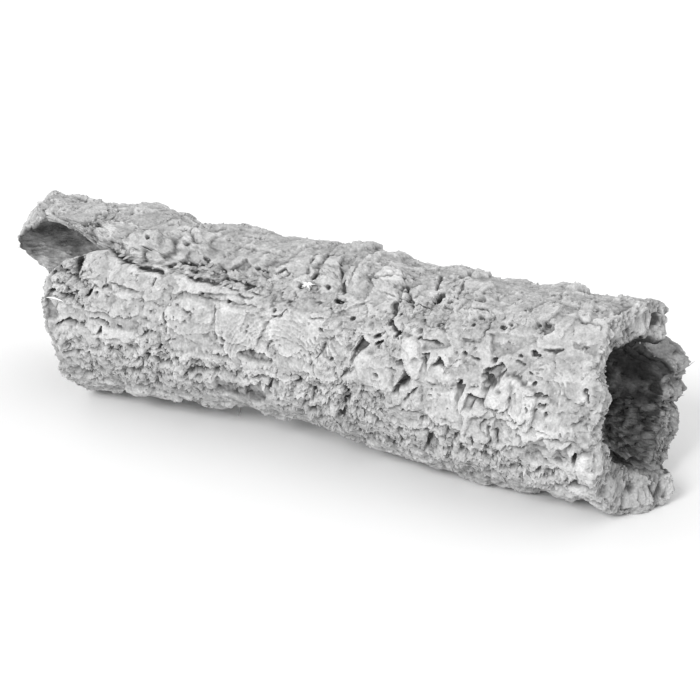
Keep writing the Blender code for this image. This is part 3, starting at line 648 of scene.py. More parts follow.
def smallPits(x, angle, size, shift, share, largest, depth):
    # a hole at the centre of some cells, of a random radius and depth, with an S curve for its wall
    key, own = cells(x, angle, size, size, shift)[1:]
    away = np.hypot(own[..., 0], own[..., 1])
    radius = largest * (0.35 + 0.65 * chances[key, 2])
    chosen = chances[key, 3] < share
    return -depth * chosen * (0.5 + chances[key, 2]) * (1.0 - smoothStep(0.5, 1.05, away * size / radius))


def crumblingShare(x, angle, points):
    # how crumbly the bark is: a broad noise, raised in some soft ovals and lowered in others
    share = weight("crumbly", patches(points, "crumbly"))
    for oval in laid(softOval, bark["crumbling"], x, angle):
        share = np.maximum(share, oval)
    for oval in laid(flatOval, bark["smooth"], x, angle):
        share = share * (1.0 - oval)
    return np.clip(share + namedNoise(points, "crumblyEdge"), 0.0, 1.0)


def barkRelief(x, angle, points):
    # height of the bark over its smooth outside: the sum of its features, cells, layers and crumbs
    arc = tube["arc"]
    jagged = np.stack([noise(points, bark["jagWidth"], shift) for shift in bark["jagShifts"]], axis=-1)
    wander = namedNoise(points, "wander")
    drift = namedNoise(points, "drift")
    placedX = x + wander + bark["jag"] * jagged[..., 0]
    placedAngle = angle + (drift + bark["jag"] * jagged[..., 2]) / arc
    warped = points + bark["warp"] * jagged
    height = np.full(x.shape, -bark["meanRelief"])
    for shape, features in ((plate, bark["plates"]), (lip, bark["lips"]), (lump, bark["lumps"])):
        for relief in laid(shape, features, placedX + wander, placedAngle + drift / arc):
            height += relief
    gap, key, own = cells(placedX + bark["cellWander"] * wander, placedAngle, *bark["cellSize"])
    tilt = bark["cellTilt"] * ((chances[key, 3] - 0.5) * own[..., 0] - 0.5 * own[..., 1])
    step = bark["cellStep"] * (chances[key, 2] - 0.5) + tilt
    gaps = bark["cellGapDepth"] * patches(points, "openGaps") * (1.0 - smoothStep(*bark["cellGapEdge"], gap))
    hidden = weight("cells", zone("unseenTop", angle) + zone("unseenFoot", angle))
    height += hidden * (step - gaps)
    for width, size, shift in bark["swellings"]:
        height += size * noise(points, width, shift)
    crumbly = crumblingShare(x, angle, points)
    smooth = 1.0 - crumbly
    rough = np.maximum(zone("roughFoot", angle), bark["roughNearShare"] * zone("roughNearEnd", x))
    rough = rough * zone("roughTop", angle) * weight("rough", crumbly)
    for width, size, shift in bark["billows"]:
        height += rough * size * (np.abs(noise(warped, width, shift)) - bark["billowMiddle"])
    for width, size, shift in bark["hollows"]:
        height -= rough * size * smoothStep(*bark["hollowEdge"], noise(warped, width, shift))
    print("  large forms")

    movedX = placedX + bark["smallCellWander"] * wander
    gap, key, own = cells(movedX, placedAngle, *bark["smallCellSize"], bark["smallCellShift"])
    small = bark["smallCellStep"] * (chances[key, 2] - 0.5 + 1.2 * (chances[key, 3] - 0.5) * own[..., 1])
    small = small - bark["smallCellGapDepth"] * (1.0 - smoothStep(*bark["smallCellGapEdge"], gap))
    height += weight("smallCells", np.maximum(hidden, crumbly)) * patches(points, "smallCells") * small
    height += weight("crumblyNoise", crumbly) * noise(points, *bark["crumblyNoise"])
    height += weight("chunks", crumbly) * bark["chunkShare"] * crumbled(warped, *bark["chunks"])
    for feature in bark["rings"]:
        height += ringed(x + bark["ringWander"] * wander, angle + bark["ringWander"] * drift, *feature)
    print("  small cells")

    strength = patches(points, "layers") * weight("layers", crumbly)
    share = height + bark["layerJag"] * jagged[..., 1]
    height += layered(share, points, bark["layer"], bark["layerEdge"], strength) - share
    print("  layers")

    variation = np.clip(1.0 + namedNoise(points, "variation"), 0.35, 1.6)
    movedX = x + bark["pitWander"] * wander + bark["pitJag"] * jagged[..., 0]
    for shape, features in ((pit, bark["pits"]), (wedge, bark["wedges"])):
        for relief in laid(shape, features, movedX, placedAngle):
            height += relief
    for feature in bark["fissures"]:
        height += fissure(placedX, placedAngle, *feature, variation)
    acrossCracks = hairlines(warped, *bark["acrossCracks"]) * patches(points, "acrossCracks")
    alongCracks = hairlines(warped, *bark["alongCracks"]) * patches(points, "alongCracks")
    acrossDepth, alongDepth = bark["crackDepths"]
    height -= variation * (acrossDepth * acrossCracks + alongDepth * alongCracks)
    height += smallPits(placedX, placedAngle, *bark["strewnPits"])
    height += crumbly * smallPits(placedX + jagged[..., 1], placedAngle, *bark["crumblyPits"])
    print("  pits and cracks")

    for size, strength, shift in bark["crumbs"]:
        grains = crumbled(warped, size, shift, bark["fallen"] * crumbly)
        height += weight("crumbs", crumbly) * strength * grains
    for streaks, size in zip((bark["roundStreaks"], bark["alongStreaks"]), bark["streakHeights"]):
        height += smooth * size * noise(warped, *streaks)
    height += namedNoise(points, "grit") + namedNoise(points, "fineGrit")
    print("  crumbs")
    return height, crumbly


def paleness(x, angle, points):
    # how much paler or darker the bark is than the rest: two noises and some soft ovals, two of which are
    # painted shade, in the recess low on the front and on the back of the near end
    share = namedNoise(points, "broadTone") + namedNoise(points, "smallTone")
    for oval in laid(softOval, bark["pale"], x, angle):
        share = share + oval
    return share


def boreRelief(x, angle, points):
    # long shallow swellings along the bore, crumbs that are coarser along its floor, growth rings in the
    # hollow at the far end, and cracks
    lengthwise = points * bark["boreStretch"]
    height = np.zeros(points.shape[:-1])
    for width, size, shift in bark["boreNoise"]:
        height += size * noise(lengthwise, width, shift)
    height += namedNoise(points, "boreLumps") + namedNoise(points, "boreGrit")
    floor = zone("boreFloor", np.sin(np.radians(angle)) + namedNoise(points, "boreFloorEdge"))
    coarse = weight("boreCrumbs", floor) * crumbled(points, *bark["boreCrumbs"])
    height += coarse + weight("boreFineCrumbs", floor) * crumbled(points, *bark["boreFineCrumbs"])
    height += ringed(x, angle, *bark["earRings"])
    return height - bark["boreCrackDepth"] * hairlines(points, *bark["boreCracks"])


def breakRelief(points, depth, angle, near):
    # broken ends: lobes and swellings, blocks round the wall that stand at heights of their own with a
    # crack between, the edges of the growth layers as a noise that is narrow through the wall and long
    # round it, straight-sided blocks, a hole and crumbs
    arc = tube["arc"]
    height = namedNoise(points, "breakLumps") + namedNoise(points, "breakGrit")
    for centerAngle, half, size in bark["nearLobes"]:
        away = turnFrom(angle, centerAngle) / half
        height += near * size * np.clip(1.0 - away ** 2, 0.0, 1.0) ** 0.7
    blocks = angle * arc / bark["blockLength"] + namedNoise(points, "blockWander")
    blocks = blocks + namedNoise(points, "blockJag")
    whole = np.floor(blocks).astype(int)
    edge = np.minimum(blocks - whole, 1.0 - blocks + whole)
    crack = bark["blockCrack"] * (1.0 - smoothStep(0.0, bark["blockCrackWidth"], edge))
    height += bark["blockStep"] * (chances[whole & 255, 2] - 0.5 - crack)
    through, around, along = bark["breakLayerStretch"]
    rounds = np.stack((through * depth, around * arc * angle, along * points[..., 0]), axis=-1)
    height += namedNoise(rounds, "breakLayers")
    for centerAngle, half, share, halfShare, size in bark["nearBlocks"]:
        across = (turnFrom(angle, centerAngle) + namedNoise(points, "blockEdge")) / half
        reach = (np.abs(across) ** 6.0 + np.abs((depth - share) / halfShare) ** 6.0) ** (1.0 / 6.0)
        height += near * size * (1.0 - smoothStep(0.88, 1.08, reach))
    holeAngle, half, share, halfShare, sink = bark["nearHole"]
    away = np.hypot((angle - holeAngle) / half, (depth - share) / halfShare) + namedNoise(points, "holeEdge")
    height -= near * sink * (1.0 - smoothStep(0.7, 1.1, away))
    for size, strength, shift in bark["breakCrumbs"]:
        height += strength * crumbled(points, size, shift, bark["breakFallen"])
    return height


def loopRows(angle):
    # rows that run over the far break, along the outside, over the near break and back along the bore;
    # each has x, its share of the way from the outside to the bore, and its share of a break, which swings
    # over the wall's edge as a rounded square
    circle = place(0.0 * angle - tube["waistToMiddle"], angle, tube["upperRadii"][0])
    ragged = tube["breakRaggedness"]
    far = roundTheTube(angle, tube["farBreak"]) + ragged * noise(circle, *tube["farBreakNoise"])
    near = roundTheTube(angle, tube["nearBreak"]) + ragged * noise(circle, *tube["nearBreakNoise"])
    lean = tube["nearWallLean"] * zone("nearLean", angle)
    rounding = tube["breakRounding"]
    length = near - far - 2.0 * rounding
    outside = np.linspace(0.0, 1.0, bark["outsideRows"])[:, None]
    bore = np.linspace(1.0, 0.0, bark["boreRows"])[:, None]
    turn = np.linspace(0.0, np.pi, bark["breakRows"] + 2)[1:-1, None] + 0.0 * angle
    over = np.sin(turn) ** bark["breakSquareness"]
    across = 0.5 - 0.5 * np.sign(np.cos(turn)) * np.abs(np.cos(turn)) ** bark["breakSquareness"]
    x = np.concatenate((far + rounding * (1.0 - over), far + rounding + outside * length,
                        near - rounding * (1.0 - over) - lean * across,
                        far + rounding + bore * (length - lean)))
    flat = np.zeros_like(angle)
    depth = np.concatenate((1.0 - across, outside * flat, across, 1.0 + bore * flat))
    broken = np.concatenate((over, outside * flat, over, bore * flat))
    return x, depth, broken


def wallRadii(x, angle):
    # the smooth outside and bore: the outside blends its upper and under radii by a cosine round the
    # tube, the bore flares to the far end and is hollowed behind the ear, and the back wall leans in there
    upper = 0.5 + 0.5 * np.cos(np.radians(angle - tube["upperAngle"]))
    outside = upper * alongTheTube(x, tube["upperRadii"])
    outside = outside + (1.0 - upper) * alongTheTube(x, tube["underRadii"])
    bore = roundTheTube(angle, tube["boreRadii"]) + tube["boreFlare"] * zone("boreFlare", x)
    bore = np.minimum(bore, outside - tube["thinnestWall"])
    ear = zone("earStart", angle) * (1.0 - zone("earEnd", angle)) * zone("earPart", x)
    bore = bore + bark["earHollow"] * ear
    back = zone("backStart", angle) * (1.0 - zone("backEnd", angle))
    lean = tube["farWallLean"] * back * zone("farLean", x)
    return outside - lean, bore - lean


def onBark(x, angle, above=0.0):
    # the point on the smooth outside at one place, or some way above it
    x = np.array([x])
    angle = np.array([angle])
    return place(x, angle, above + wallRadii(x, angle)[0])


def aboveFloor(points):
    # the same points with none of them in the floor
    points[..., 2] = np.maximum(points[..., 2], floorGap)
    return points


def wallSurface():
    # every point of the tube as rows along the loop by rows round it, with what its finish needs
    start = tube["firstAngle"]
    angle = np.linspace(start, start + 360.0, bark["roundRows"], endpoint=False)
    x, depth, broken = loopRows(angle)
    angle = np.broadcast_to(angle, x.shape)
    outside, bore = wallRadii(x, angle)
    radius = outside + (bore - outside) * depth
    skin = len(x) - bark["boreRows"]
    smoothPoints = place(x - tube["waistToMiddle"], angle, radius)
    relief, crumbly = barkRelief(x[:skin], angle[:skin], smoothPoints[:skin])
    height = np.zeros(x.shape)
    height[:skin] = relief * (1.0 - depth[:skin])
    inside = -boreRelief(x, angle, smoothPoints) * depth
    radius = radius + height + inside
    # raised bark hangs downwards over what lies below it
    down = np.cos(np.radians(angle))
    angle = angle - np.degrees(bark["undercut"] * height * down / radius)
    ends = broken > 0.0
    outward = np.zeros(x.shape)
    outward[ends] = breakRelief(smoothPoints[ends], depth[ends], angle[ends], x[ends] > 0.0)
    x = x + broken * np.sign(x) * outward
    radius = radius + broken * bark["breakSwelling"] * noise(smoothPoints, *bark["breakSwellingNoise"])
    points = aboveFloor(place(x, angle, radius))
    # the relief whose hollows the finish paints with shade and whose raised bark it paints with highlights
    paintedShadeRelief = np.concatenate((relief, inside[skin:])) * (1.0 - broken) + broken * outward
    crumbs = np.ones(x.shape)
    crumbs[:skin] = np.maximum(crumbly, broken[:skin])
    # painted shade: the near end's broken faces on the side away from the light are painted darker, through
    # pale
    facing = np.cos(np.radians(angle - bark["lightAngle"]))
    paintedShade = broken * zone("paintedShadePart", x) * zone("paintedShadeSide", facing)
    # painted light: the bore is painted paler along its floor, where light falls in, and at the far end it is
    # paler but for a darker band over the top towards the back, as painted light and shade
    paintedLight = zone("paintedLightFloor", np.sin(np.radians(angle)) + namedNoise(smoothPoints, "paintedLightEdge"))
    farPaintedLight = weight("farPaintedLight", zone("paintedLightBack", angle) + zone("paintedLightTop", angle))
    thin = zone("earRimPart", x) * zone("earRimStart", angle) * (1.0 - zone("earRimEnd", angle))
    nearRim = bark["nearRimShare"] * zone("nearRimPart", x) * zone("nearRimStart", angle)
    thin = thin + nearRim * (1.0 - zone("nearRimEnd", angle))
    edge = [share - sooner * thin for share, sooner in zip(bark["boreEdge"], bark["rimShift"])]
    return points, {
        "inner": smoothStep(*edge, depth),
        # fine and wide: the relief less its blur, which the finish turns into painted shade and painted
        # highlights
        "fineShadeAndHighlight": paintedShadeRelief - blurred(paintedShadeRelief, *bark["fineShadeBlur"]),
        "wide": paintedShadeRelief - blurred(paintedShadeRelief, *bark["wideShadeBlur"]),
        "crumbly": crumbs,
        # pale: the bark's paler and darker tone (see paleness), less the near end's painted shade
        "pale": paleness(x, angle, smoothPoints) - bark["paintedShadeTone"] * paintedShade,
        "paintedLight": paintedLight + zone("paintedLightPart", x) * (farPaintedLight + namedNoise(smoothPoints, "paintedLightPatches")),
    }


def newPiece(name, points, faces, values=None):
    # a mesh object from arrays, with one value at each point for each named attribute
    mesh = bpy.data.meshes.new(name)
    count, sides = faces.shape
    mesh.vertices.add(len(points))
    mesh.vertices.foreach_set("co", (points * mm).astype(np.float32).ravel())
    mesh.loops.add(count * sides)
    mesh.loops.foreach_set("vertex_index", faces.astype(np.int32).ravel())
    mesh.polygons.add(count)
    mesh.polygons.foreach_set("loop_start", np.arange(0, count * sides, sides, dtype=np.int32))
    mesh.update(calc_edges=True)
    for label, value in (values or {}).items():
        layer = mesh.attributes.new(label, "FLOAT", "POINT")
        layer.data.foreach_set("value", value.astype(np.float32).ravel())
    piece = bpy.data.objects.new(name, mesh)
    bpy.context.scene.collection.objects.link(piece)
    return piece


def closedGridFaces(rows, columns):
    # quads of a grid that closes on itself both ways
    row = np.arange(rows)[:, None]
    column = np.arange(columns)[None, :]
    nextRow = (row + 1) % rows
    nextColumn = (column + 1) % columns
    corners = (row * columns + column, nextRow * columns + column,
               nextRow * columns + nextColumn, row * columns + nextColumn)
    return np.stack(corners, axis=-1).reshape(-1, 4)


def thinned(piece, triangles):
    # the mesh with its flat stretches thinned to a number of triangles, and without the corners that
    # thinning leaves between only two faces
    modifier = piece.modifiers.new("thin", "DECIMATE")
    modifier.ratio = min(1.0, triangles / (2.0 * len(piece.data.polygons)))
    graph = bpy.context.evaluated_depsgraph_get()
    mesh = bpy.data.meshes.new_from_object(piece.evaluated_get(graph), preserve_all_data_layers=True,
                                           depsgraph=graph)
    piece.modifiers.clear()
    old = piece.data
    piece.data = mesh
    bpy.data.meshes.remove(old)
    mesh.name = piece.name
    corners = np.empty(len(mesh.loops), dtype=np.int32)
    mesh.loops.foreach_get("vertex_index", corners)
    form = bmesh.new()
    form.from_mesh(mesh)
    form.verts.ensure_lookup_table()
    spare = [form.verts[spot] for spot in np.flatnonzero(np.bincount(corners) == 2).tolist()]
    bmesh.ops.dissolve_verts(form, verts=spare)
    form.to_mesh(mesh)
    form.free()
    return piece


def finishPiece(piece, material, sharpAngle=50):
    # smooth shading but for edges over an angle, its finish, and its place in the frame
    piece.data.shade_smooth()
    piece.data.set_sharp_from_angle(angle=math.radians(sharpAngle))
    piece.data.materials.append(material)
    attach(piece, "root")
    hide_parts("cork_branch")
    print(f"  {piece.name}: {len(piece.data.polygons)} faces")
    return piece


def addBark(surface, values, material):
    # the wall in sections along the tube, each one a closed ring that meets the next on a shared row
    breakRows, outsideRows, boreRows = bark["breakRows"], bark["outsideRows"], bark["boreRows"]
    parts = len(bark["sections"])
    outsideCuts = np.linspace(0, outsideRows - 1, parts + 1).astype(int) + breakRows
    boreStart = 2 * breakRows + outsideRows
    boreCuts = boreStart + boreRows - 1 - np.linspace(0, boreRows - 1, parts + 1).astype(int)
    for part, name in enumerate(bark["sections"]):
        rows = [np.arange(outsideCuts[part], outsideCuts[part + 1] + 1)]
        if part == parts - 1:
            rows.append(np.arange(outsideCuts[part + 1] + 1, boreStart))
        rows.append(np.arange(boreCuts[part + 1], boreCuts[part] + 1))
        if part == 0:
            rows.append(np.arange(0, breakRows))
        order = np.concatenate(rows)
        faces = closedGridFaces(len(order), surface.shape[1])
        chosen = {label: value[order] for label, value in values.items()}
        piece = newPiece(name + "Bark", surface[order].reshape(-1, 3), faces, chosen)
        finishPiece(thinned(piece, bark["triangles"]), material)


# Loose cork on the bark. Two values are a range, and places are (x, angle).
loose = {
    "seed": 29,
    "triesEach": 12,  # random places tried for each one wanted
    "crumbCount": 4200,
    "crumbLeast": 0.04,  # chance of a place on smooth bark
    "crumbLift": 0.1,
    "crumbSharp": 25,
    "crumbSize": (0.35, 1.1),
    "crumbCorners": (0.7, 1.25),  # how far out each corner is
    "crumbSqueeze": (0.6, 1.4),
    "smaller": (0.5, 1.0),  # share of its size that a crumb or a flake has
    "pale": (-0.7, 0.6),
    "flakeCount": 1300,
    "flakeLeast": 0.02,
    "flakeInset": 16,  # rows kept clear beside each broken end
    "flakeSpread": 7,  # rows on each side that a flake's slope is taken from
    "flakeSharp": 35,
    "flakeSize": (1.0, 3.4),
    "flakeEdge": (0.55, 1.2),  # how far out each corner of a flake is
    "flakeWidth": (0.45, 0.9),
    "flakeTop": 0.86,  # the upper side's share of the lower side's size
    "flakeHinge": 0.3,  # how far from its middle a flake starts to lift, as a share of its size
    "flakeUnder": (0.0, 0.0, 0.9),  # from its middle to the point under it and the one over it
    "flakeOver": (0.0, 0.0, 0.45),
    "flakeThickness": (0.3, 0.7),
    "flakeTilt": (2.0, 14.0),
    "flakeSides": 12,
    "fibreCount": 60,
    "fibreLength": (1.5, 5.0),
    "fibreRadius": 0.15,
    "fibreRadii": (0.6, 1.3),  # shares of that radius
    "fibreRise": (0.0, 0.3),
    "fibreBend": 0.5,
    "fibreSag": 0.35,
    "fibreTaper": 0.5,
    "fibreRows": 9,
    "fibreSides": 5,
    "fibreTone": -0.5,
    "tuftPlace": (-10.0, 58.0),
    "tuftCount": 46,
    "tuftLength": (1.6, 4.4),
    "tuftRadius": 0.42,
    "tuftRadii": (0.6, 1.2),
    "tuftSpread": 0.9,
    "tuftAbove": 0.4,
    "tuftRise": (0.1, 0.9),
    "tuftBend": 0.4,
    "tuftSag": 0.3,
    "tuftTaper": 0.7,
    "tuftFrameSpread": 9,
    # one fibre hangs below the waist, and one pale strand lies at the far end
    "hangingPlace": (-48.0, -45.0),
    "hangingWay": (0.05, -0.25, -0.96),
    "hangingBend": (-0.2, 0.0, 0.1),
    "hangingLength": 6.0,
    "hangingRadius": 0.4,
    "hangingTone": -3.5,
    "strandPlace": (-153.5, 18.8),
    "strandAbove": 2.0,
    "strandWay": (0.97, -0.05, 0.24),
    "strandBend": (0.0, 0.0, -0.26),
    "strandLength": 11.5,
    "strandRadius": 0.42,
}


def unit(vectors):
    # the same directions with a length of 1
    return vectors / np.linalg.norm(vectors, axis=-1, keepdims=True)


def barkFrames(surface, rows, columns, spread):
    # at chosen places of the grid: the point, the directions along and round the tube, and the outward
    # normal, from points a few rows away
    high, wide = surface.shape[:2]
    along = surface[(rows + spread) % high, columns] - surface[(rows - spread) % high, columns]
    around = surface[rows, (columns + spread) % wide] - surface[rows, (columns - spread) % wide]
    normal = unit(np.cross(around, along))
    along = unit(along)
    return surface[rows, columns], along, np.cross(normal, along), normal


def spun(random, along, across):
    # a direction in the plane of two others, turned by a random angle, and the one square to it
    turn = random.random((len(along), 1)) * 2.0 * np.pi
    return along * np.cos(turn) + across * np.sin(turn), across * np.cos(turn) - along * np.sin(turn)


def scattered(random, surface, values, count, least, inset=8, spread=5):
    # random places on the bark's outside, more often where it crumbles or is broken: the points there, two
    # directions that lie on the bark, and the outward normal
    crumbly = values["crumbly"]
    tries = loose["triesEach"] * count
    rows = random.integers(inset, len(crumbly) - bark["boreRows"] - inset, tries)
    columns = random.integers(0, crumbly.shape[1], tries)
    kept = random.random(tries) < crumbly[rows, columns] ** 2 + least
    point, along, across, normal = barkFrames(surface, rows[kept][:count], columns[kept][:count], spread)
    return point, *spun(random, along, across), normal


def onFrames(shape, point, along, across, normal):
    # each body's points laid on its own frame, and kept above the floor
    flat = point[:, None] + shape[..., :1] * along[:, None] + shape[..., 1:2] * across[:, None]
    return aboveFloor(flat + shape[..., 2:] * normal[:, None]).reshape(-1, 3)


def joinedFaces(faces, count, size):
    # the same faces repeated for each of a number of bodies with this many points
    return (faces[None] + size * np.arange(count)[:, None, None]).reshape(-1, faces.shape[1])


def addCrumbs(surface, values, material):
    # grains: a 12-cornered ball from the golden ratio, with every corner at a random distance, squeezed
    # and spun
    random = np.random.default_rng(loose["seed"])
    golden = (1.0 + math.sqrt(5.0)) / 2.0
    corners = np.array([(0, a, b * golden) for a in (-1, 1) for b in (-1, 1)], float)
    corners = np.concatenate([corners[:, turned] for turned in ((0, 1, 2), (1, 2, 0), (2, 0, 1))])
    corners = corners / math.hypot(1.0, golden)
    # corners nearer than 1.1 share an edge, and three such corners a face, turned outwards
    near = np.linalg.norm(corners[:, None] - corners[None], axis=-1) < 1.1
    faces = np.array([(a, b, c) for a, b, c in itertools.combinations(range(12), 3)
                      if near[a, b] and near[b, c] and near[a, c]])
    first, second, third = (corners[faces[:, side]] for side in range(3))
    inward = np.einsum("fi,fi->f", np.cross(second - first, third - first), first) < 0
    faces[inward] = faces[inward][:, ::-1]
    frames = scattered(random, surface, values, loose["crumbCount"], loose["crumbLeast"])
    count = len(frames[0])
    size = random.uniform(*loose["crumbSize"], (count, 1, 1))
    size = size * random.uniform(*loose["smaller"], (count, 1, 1))
    shape = corners[None] * random.uniform(*loose["crumbCorners"], (count, 12, 1))
    shape = shape * random.uniform(*loose["crumbSqueeze"], (count, 1, 3)) * size
    shape[..., 2:] += loose["crumbLift"] * size
    points = onFrames(shape, *frames)
    pale = np.repeat(random.uniform(*loose["pale"], count), 12)
    piece = newPiece("corkCrumbs", points, joinedFaces(faces, count, 12), {"pale": pale})
    finishPiece(piece, material, loose["crumbSharp"])


def addFlakes(surface, values, material):
    # flakes: ragged slabs lifted at one side; their outline is a circle with a random distance for each
    # corner, and they thin out towards it
    random = np.random.default_rng(loose["seed"] + 1)
    sides = loose["flakeSides"]
    inset = bark["breakRows"] + loose["flakeInset"]
    frames = scattered(random, surface, values, loose["flakeCount"], loose["flakeLeast"], inset,
                       loose["flakeSpread"])
    count = len(frames[0])
    turn = np.linspace(0.0, 2.0 * np.pi, sides, endpoint=False)[None]
    size = random.uniform(*loose["flakeSize"], (count, 1)) * random.uniform(*loose["smaller"], (count, 1))
    reach = size * random.uniform(*loose["flakeEdge"], (count, sides))
    u = reach * np.cos(turn)
    v = reach * np.sin(turn) * random.uniform(*loose["flakeWidth"], (count, 1))
    lift = np.tan(np.radians(random.uniform(*loose["flakeTilt"], (count, 1))))
    thickness = random.uniform(*loose["flakeThickness"], (count, 1))
    inner = loose["flakeTop"]
    hinge = loose["flakeHinge"]
    rim = np.stack((u, v, lift * (u + hinge * size) - 0.6 * thickness), axis=-1)
    top = np.stack((inner * u, inner * v, lift * (inner * u + hinge * size) + 0.4 * thickness), axis=-1)
    middle = np.stack((0.0 * size, 0.0 * size, hinge * lift * size), axis=-1)
    shape = np.concatenate((rim, top, middle - loose["flakeUnder"], middle + loose["flakeOver"]), axis=1)
    own = np.arange(sides)
    after = (own + 1) % sides
    under = 0 * own + 2 * sides
    faces = np.concatenate([np.stack(trio, axis=-1) for trio in (
        (own, after, after + sides), (own, after + sides, own + sides),
        (after, own, under), (own + sides, after + sides, under + 1))])
    points = onFrames(shape, *frames)
    pale = np.repeat(random.uniform(*loose["pale"], count), 2 * sides + 2)
    faces = joinedFaces(faces, count, 2 * sides + 2)
    finishPiece(newPiece("barkFlakes", points, faces, {"pale": pale}), material, loose["flakeSharp"])


def strands(starts, directions, lengths, radii, bends, taper):
    # tapered round strands: each follows a straight line plus a sideways bend that grows with the square
    # of the way along, and its radius falls to nothing at both ends as a power of a sine
    rows, sides = loose["fibreRows"], loose["fibreSides"]
    way = np.linspace(0.0, 1.0, rows)[None, :, None]
    line = starts[:, None] + lengths[:, None, None] * (way * directions[:, None] + way ** 2 * bends[:, None])
    square = unit(np.cross(directions, (0.31, 0.47, 0.83)))
    other = np.cross(directions, square)
    turn = np.linspace(0.0, 2.0 * np.pi, sides, endpoint=False)[None, None, :, None]
    radius = radii[:, None, None, None] * (0.04 + np.sin(np.pi * (0.06 + 0.9 * way)) ** taper)[..., None]
    ring = np.cos(turn) * square[:, None, None] + np.sin(turn) * other[:, None, None]
    points = aboveFloor(line[:, :, None] + radius * ring)
    row = np.arange(rows - 1)[:, None] * sides
    side = np.arange(sides)[None]
    after = (side + 1) % sides
    quads = np.stack((row + side, row + after, row + sides + after, row + sides + side), axis=-1)
    quads = quads.reshape(-1, 4)
    fan = np.arange(1, sides - 1)
    last = (rows - 1) * sides
    ends = np.concatenate((np.stack((0 * fan, fan + 1, fan), axis=-1),
                           np.stack((0 * fan, fan, fan + 1), axis=-1) + last))
    faces = np.concatenate((quads[:, (0, 1, 2)], quads[:, (0, 2, 3)], ends))
    return points.reshape(-1, 3), joinedFaces(faces, len(starts), rows * sides)


def addFibres(surface, values, material):
    # loose fibres on crumbling bark and its broken ends, and one that hangs below the waist
    random = np.random.default_rng(loose["seed"] + 2)
    point, along, across, normal = scattered(random, surface, values, loose["fibreCount"], 0.0)
    count = len(point)
    way = unit(along + random.uniform(*loose["fibreRise"], (count, 1)) * normal)
    lengths = random.uniform(*loose["fibreLength"], count)
    bends = loose["fibreBend"] * random.uniform(-1.0, 1.0, (count, 1)) * across - loose["fibreSag"] * normal
    radii = loose["fibreRadius"] * random.uniform(*loose["fibreRadii"], count)
    point = np.concatenate((point, onBark(*loose["hangingPlace"])))
    way = np.concatenate((way, (loose["hangingWay"],)))
    bends = np.concatenate((bends, (loose["hangingBend"],)))
    lengths = np.append(lengths, loose["hangingLength"])
    radii = np.append(radii, loose["hangingRadius"])
    points, faces = strands(point, way, lengths, radii, bends, loose["fibreTaper"])
    tones = np.append(np.full(count, loose["fibreTone"]), loose["hangingTone"])
    pale = np.repeat(tones, loose["fibreRows"] * loose["fibreSides"])
    finishPiece(newPiece("barkFibres", points, faces, {"pale": pale}), material)


def addTuft(surface, material):
    # a pale tuft that sits in the groove above the plates, as short fat strands spread out from one place,
    # and a pale strand at the far end
    random = np.random.default_rng(loose["seed"] + 3)
    nearest = np.argmin(np.linalg.norm(surface - onBark(*loose["tuftPlace"]), axis=-1))
    row, column = np.unravel_index(nearest, surface.shape[:2])
    count = loose["tuftCount"]
    spread = loose["tuftSpread"]
    rows = np.full(count, row)
    point, along, across, normal = barkFrames(surface, rows, np.full(count, column), loose["tuftFrameSpread"])
    along, across = spun(random, along, across)
    way = unit(along + random.uniform(*loose["tuftRise"], (count, 1)) * normal)
    start = point + loose["tuftAbove"] * normal + random.uniform(-spread, spread, (count, 1)) * across
    lengths = random.uniform(*loose["tuftLength"], count)
    radii = loose["tuftRadius"] * random.uniform(*loose["tuftRadii"], count)
    bends = loose["tuftBend"] * random.uniform(-1.0, 1.0, (count, 1)) * across - loose["tuftSag"] * normal
    start = np.concatenate((start, onBark(*loose["strandPlace"], loose["strandAbove"])))
    way = np.concatenate((way, (loose["strandWay"],)))
    bends = np.concatenate((bends, (loose["strandBend"],)))
    lengths = np.append(lengths, loose["strandLength"])
    radii = np.append(radii, loose["strandRadius"])
    points, faces = strands(start, way, lengths, radii, bends, loose["tuftTaper"])
    finishPiece(newPiece("paleTuft", points, faces), material)


# Finish of the cork: greys, and shares of its own tone that its attributes and its grain add.
finish = {
    "bark": 0.404,
    "paleShare": 0.16,
    # fine and wide shares: painted shade in hollows and painted highlights on raised bark
    "fineShadeAndHighlightShare": 0.44,
    "wideShare": 0.09,
    "crumblyShare": -0.1,
    "speckleShare": 0.4,
    "mottleShare": 0.6,
    "bore": 0.08,
    # painted light: how much paler the bore is along its floor and in the far end's hollow
    "paintedLightShare": 2.6,
    "shareLimits": (0.3, 1.3),
    "brightest": 0.85,
    "tuft": 0.86,
    "roughness": 0.93,
    "specular": 0.2,
    "bump": 0.6,
    "bumpDepth": 0.0008,  # metres
    "mottleScale": 90.0,
    "speckleScale": 850.0,
    "poreScale": 600.0,
    "poreShare": -0.5,
}


def addNode(tree, kind, inputs=None, **settings):
    # a shader node with its settings, and its inputs set to values or linked to sockets
    node = tree.nodes.new(kind)
    for label, value in settings.items():
        setattr(node, label, value)
    for label, value in (inputs or {}).items():
        socket = node.inputs[label]
        if isinstance(value, bpy.types.NodeSocket):
            tree.links.new(value, socket)
        else:
            socket.default_value = value
    return node


def mathNode(tree, operation, *values):
    # one step of arithmetic on values or sockets
    return addNode(tree, "ShaderNodeMath", dict(enumerate(values)), operation=operation).outputs[0]


def newMaterial(name, roughness, grey=None):
    # a dull material, with its shader, and of one grey unless its colour is linked later
    material = bpy.data.materials.new(name)
    material.use_nodes = True
    shader = material.node_tree.nodes["Principled BSDF"]
    shader.inputs["Roughness"].default_value = roughness
    if grey is not None:
        shader.inputs["Base Color"].default_value = (grey, grey, grey, 1.0)
    return material, shader


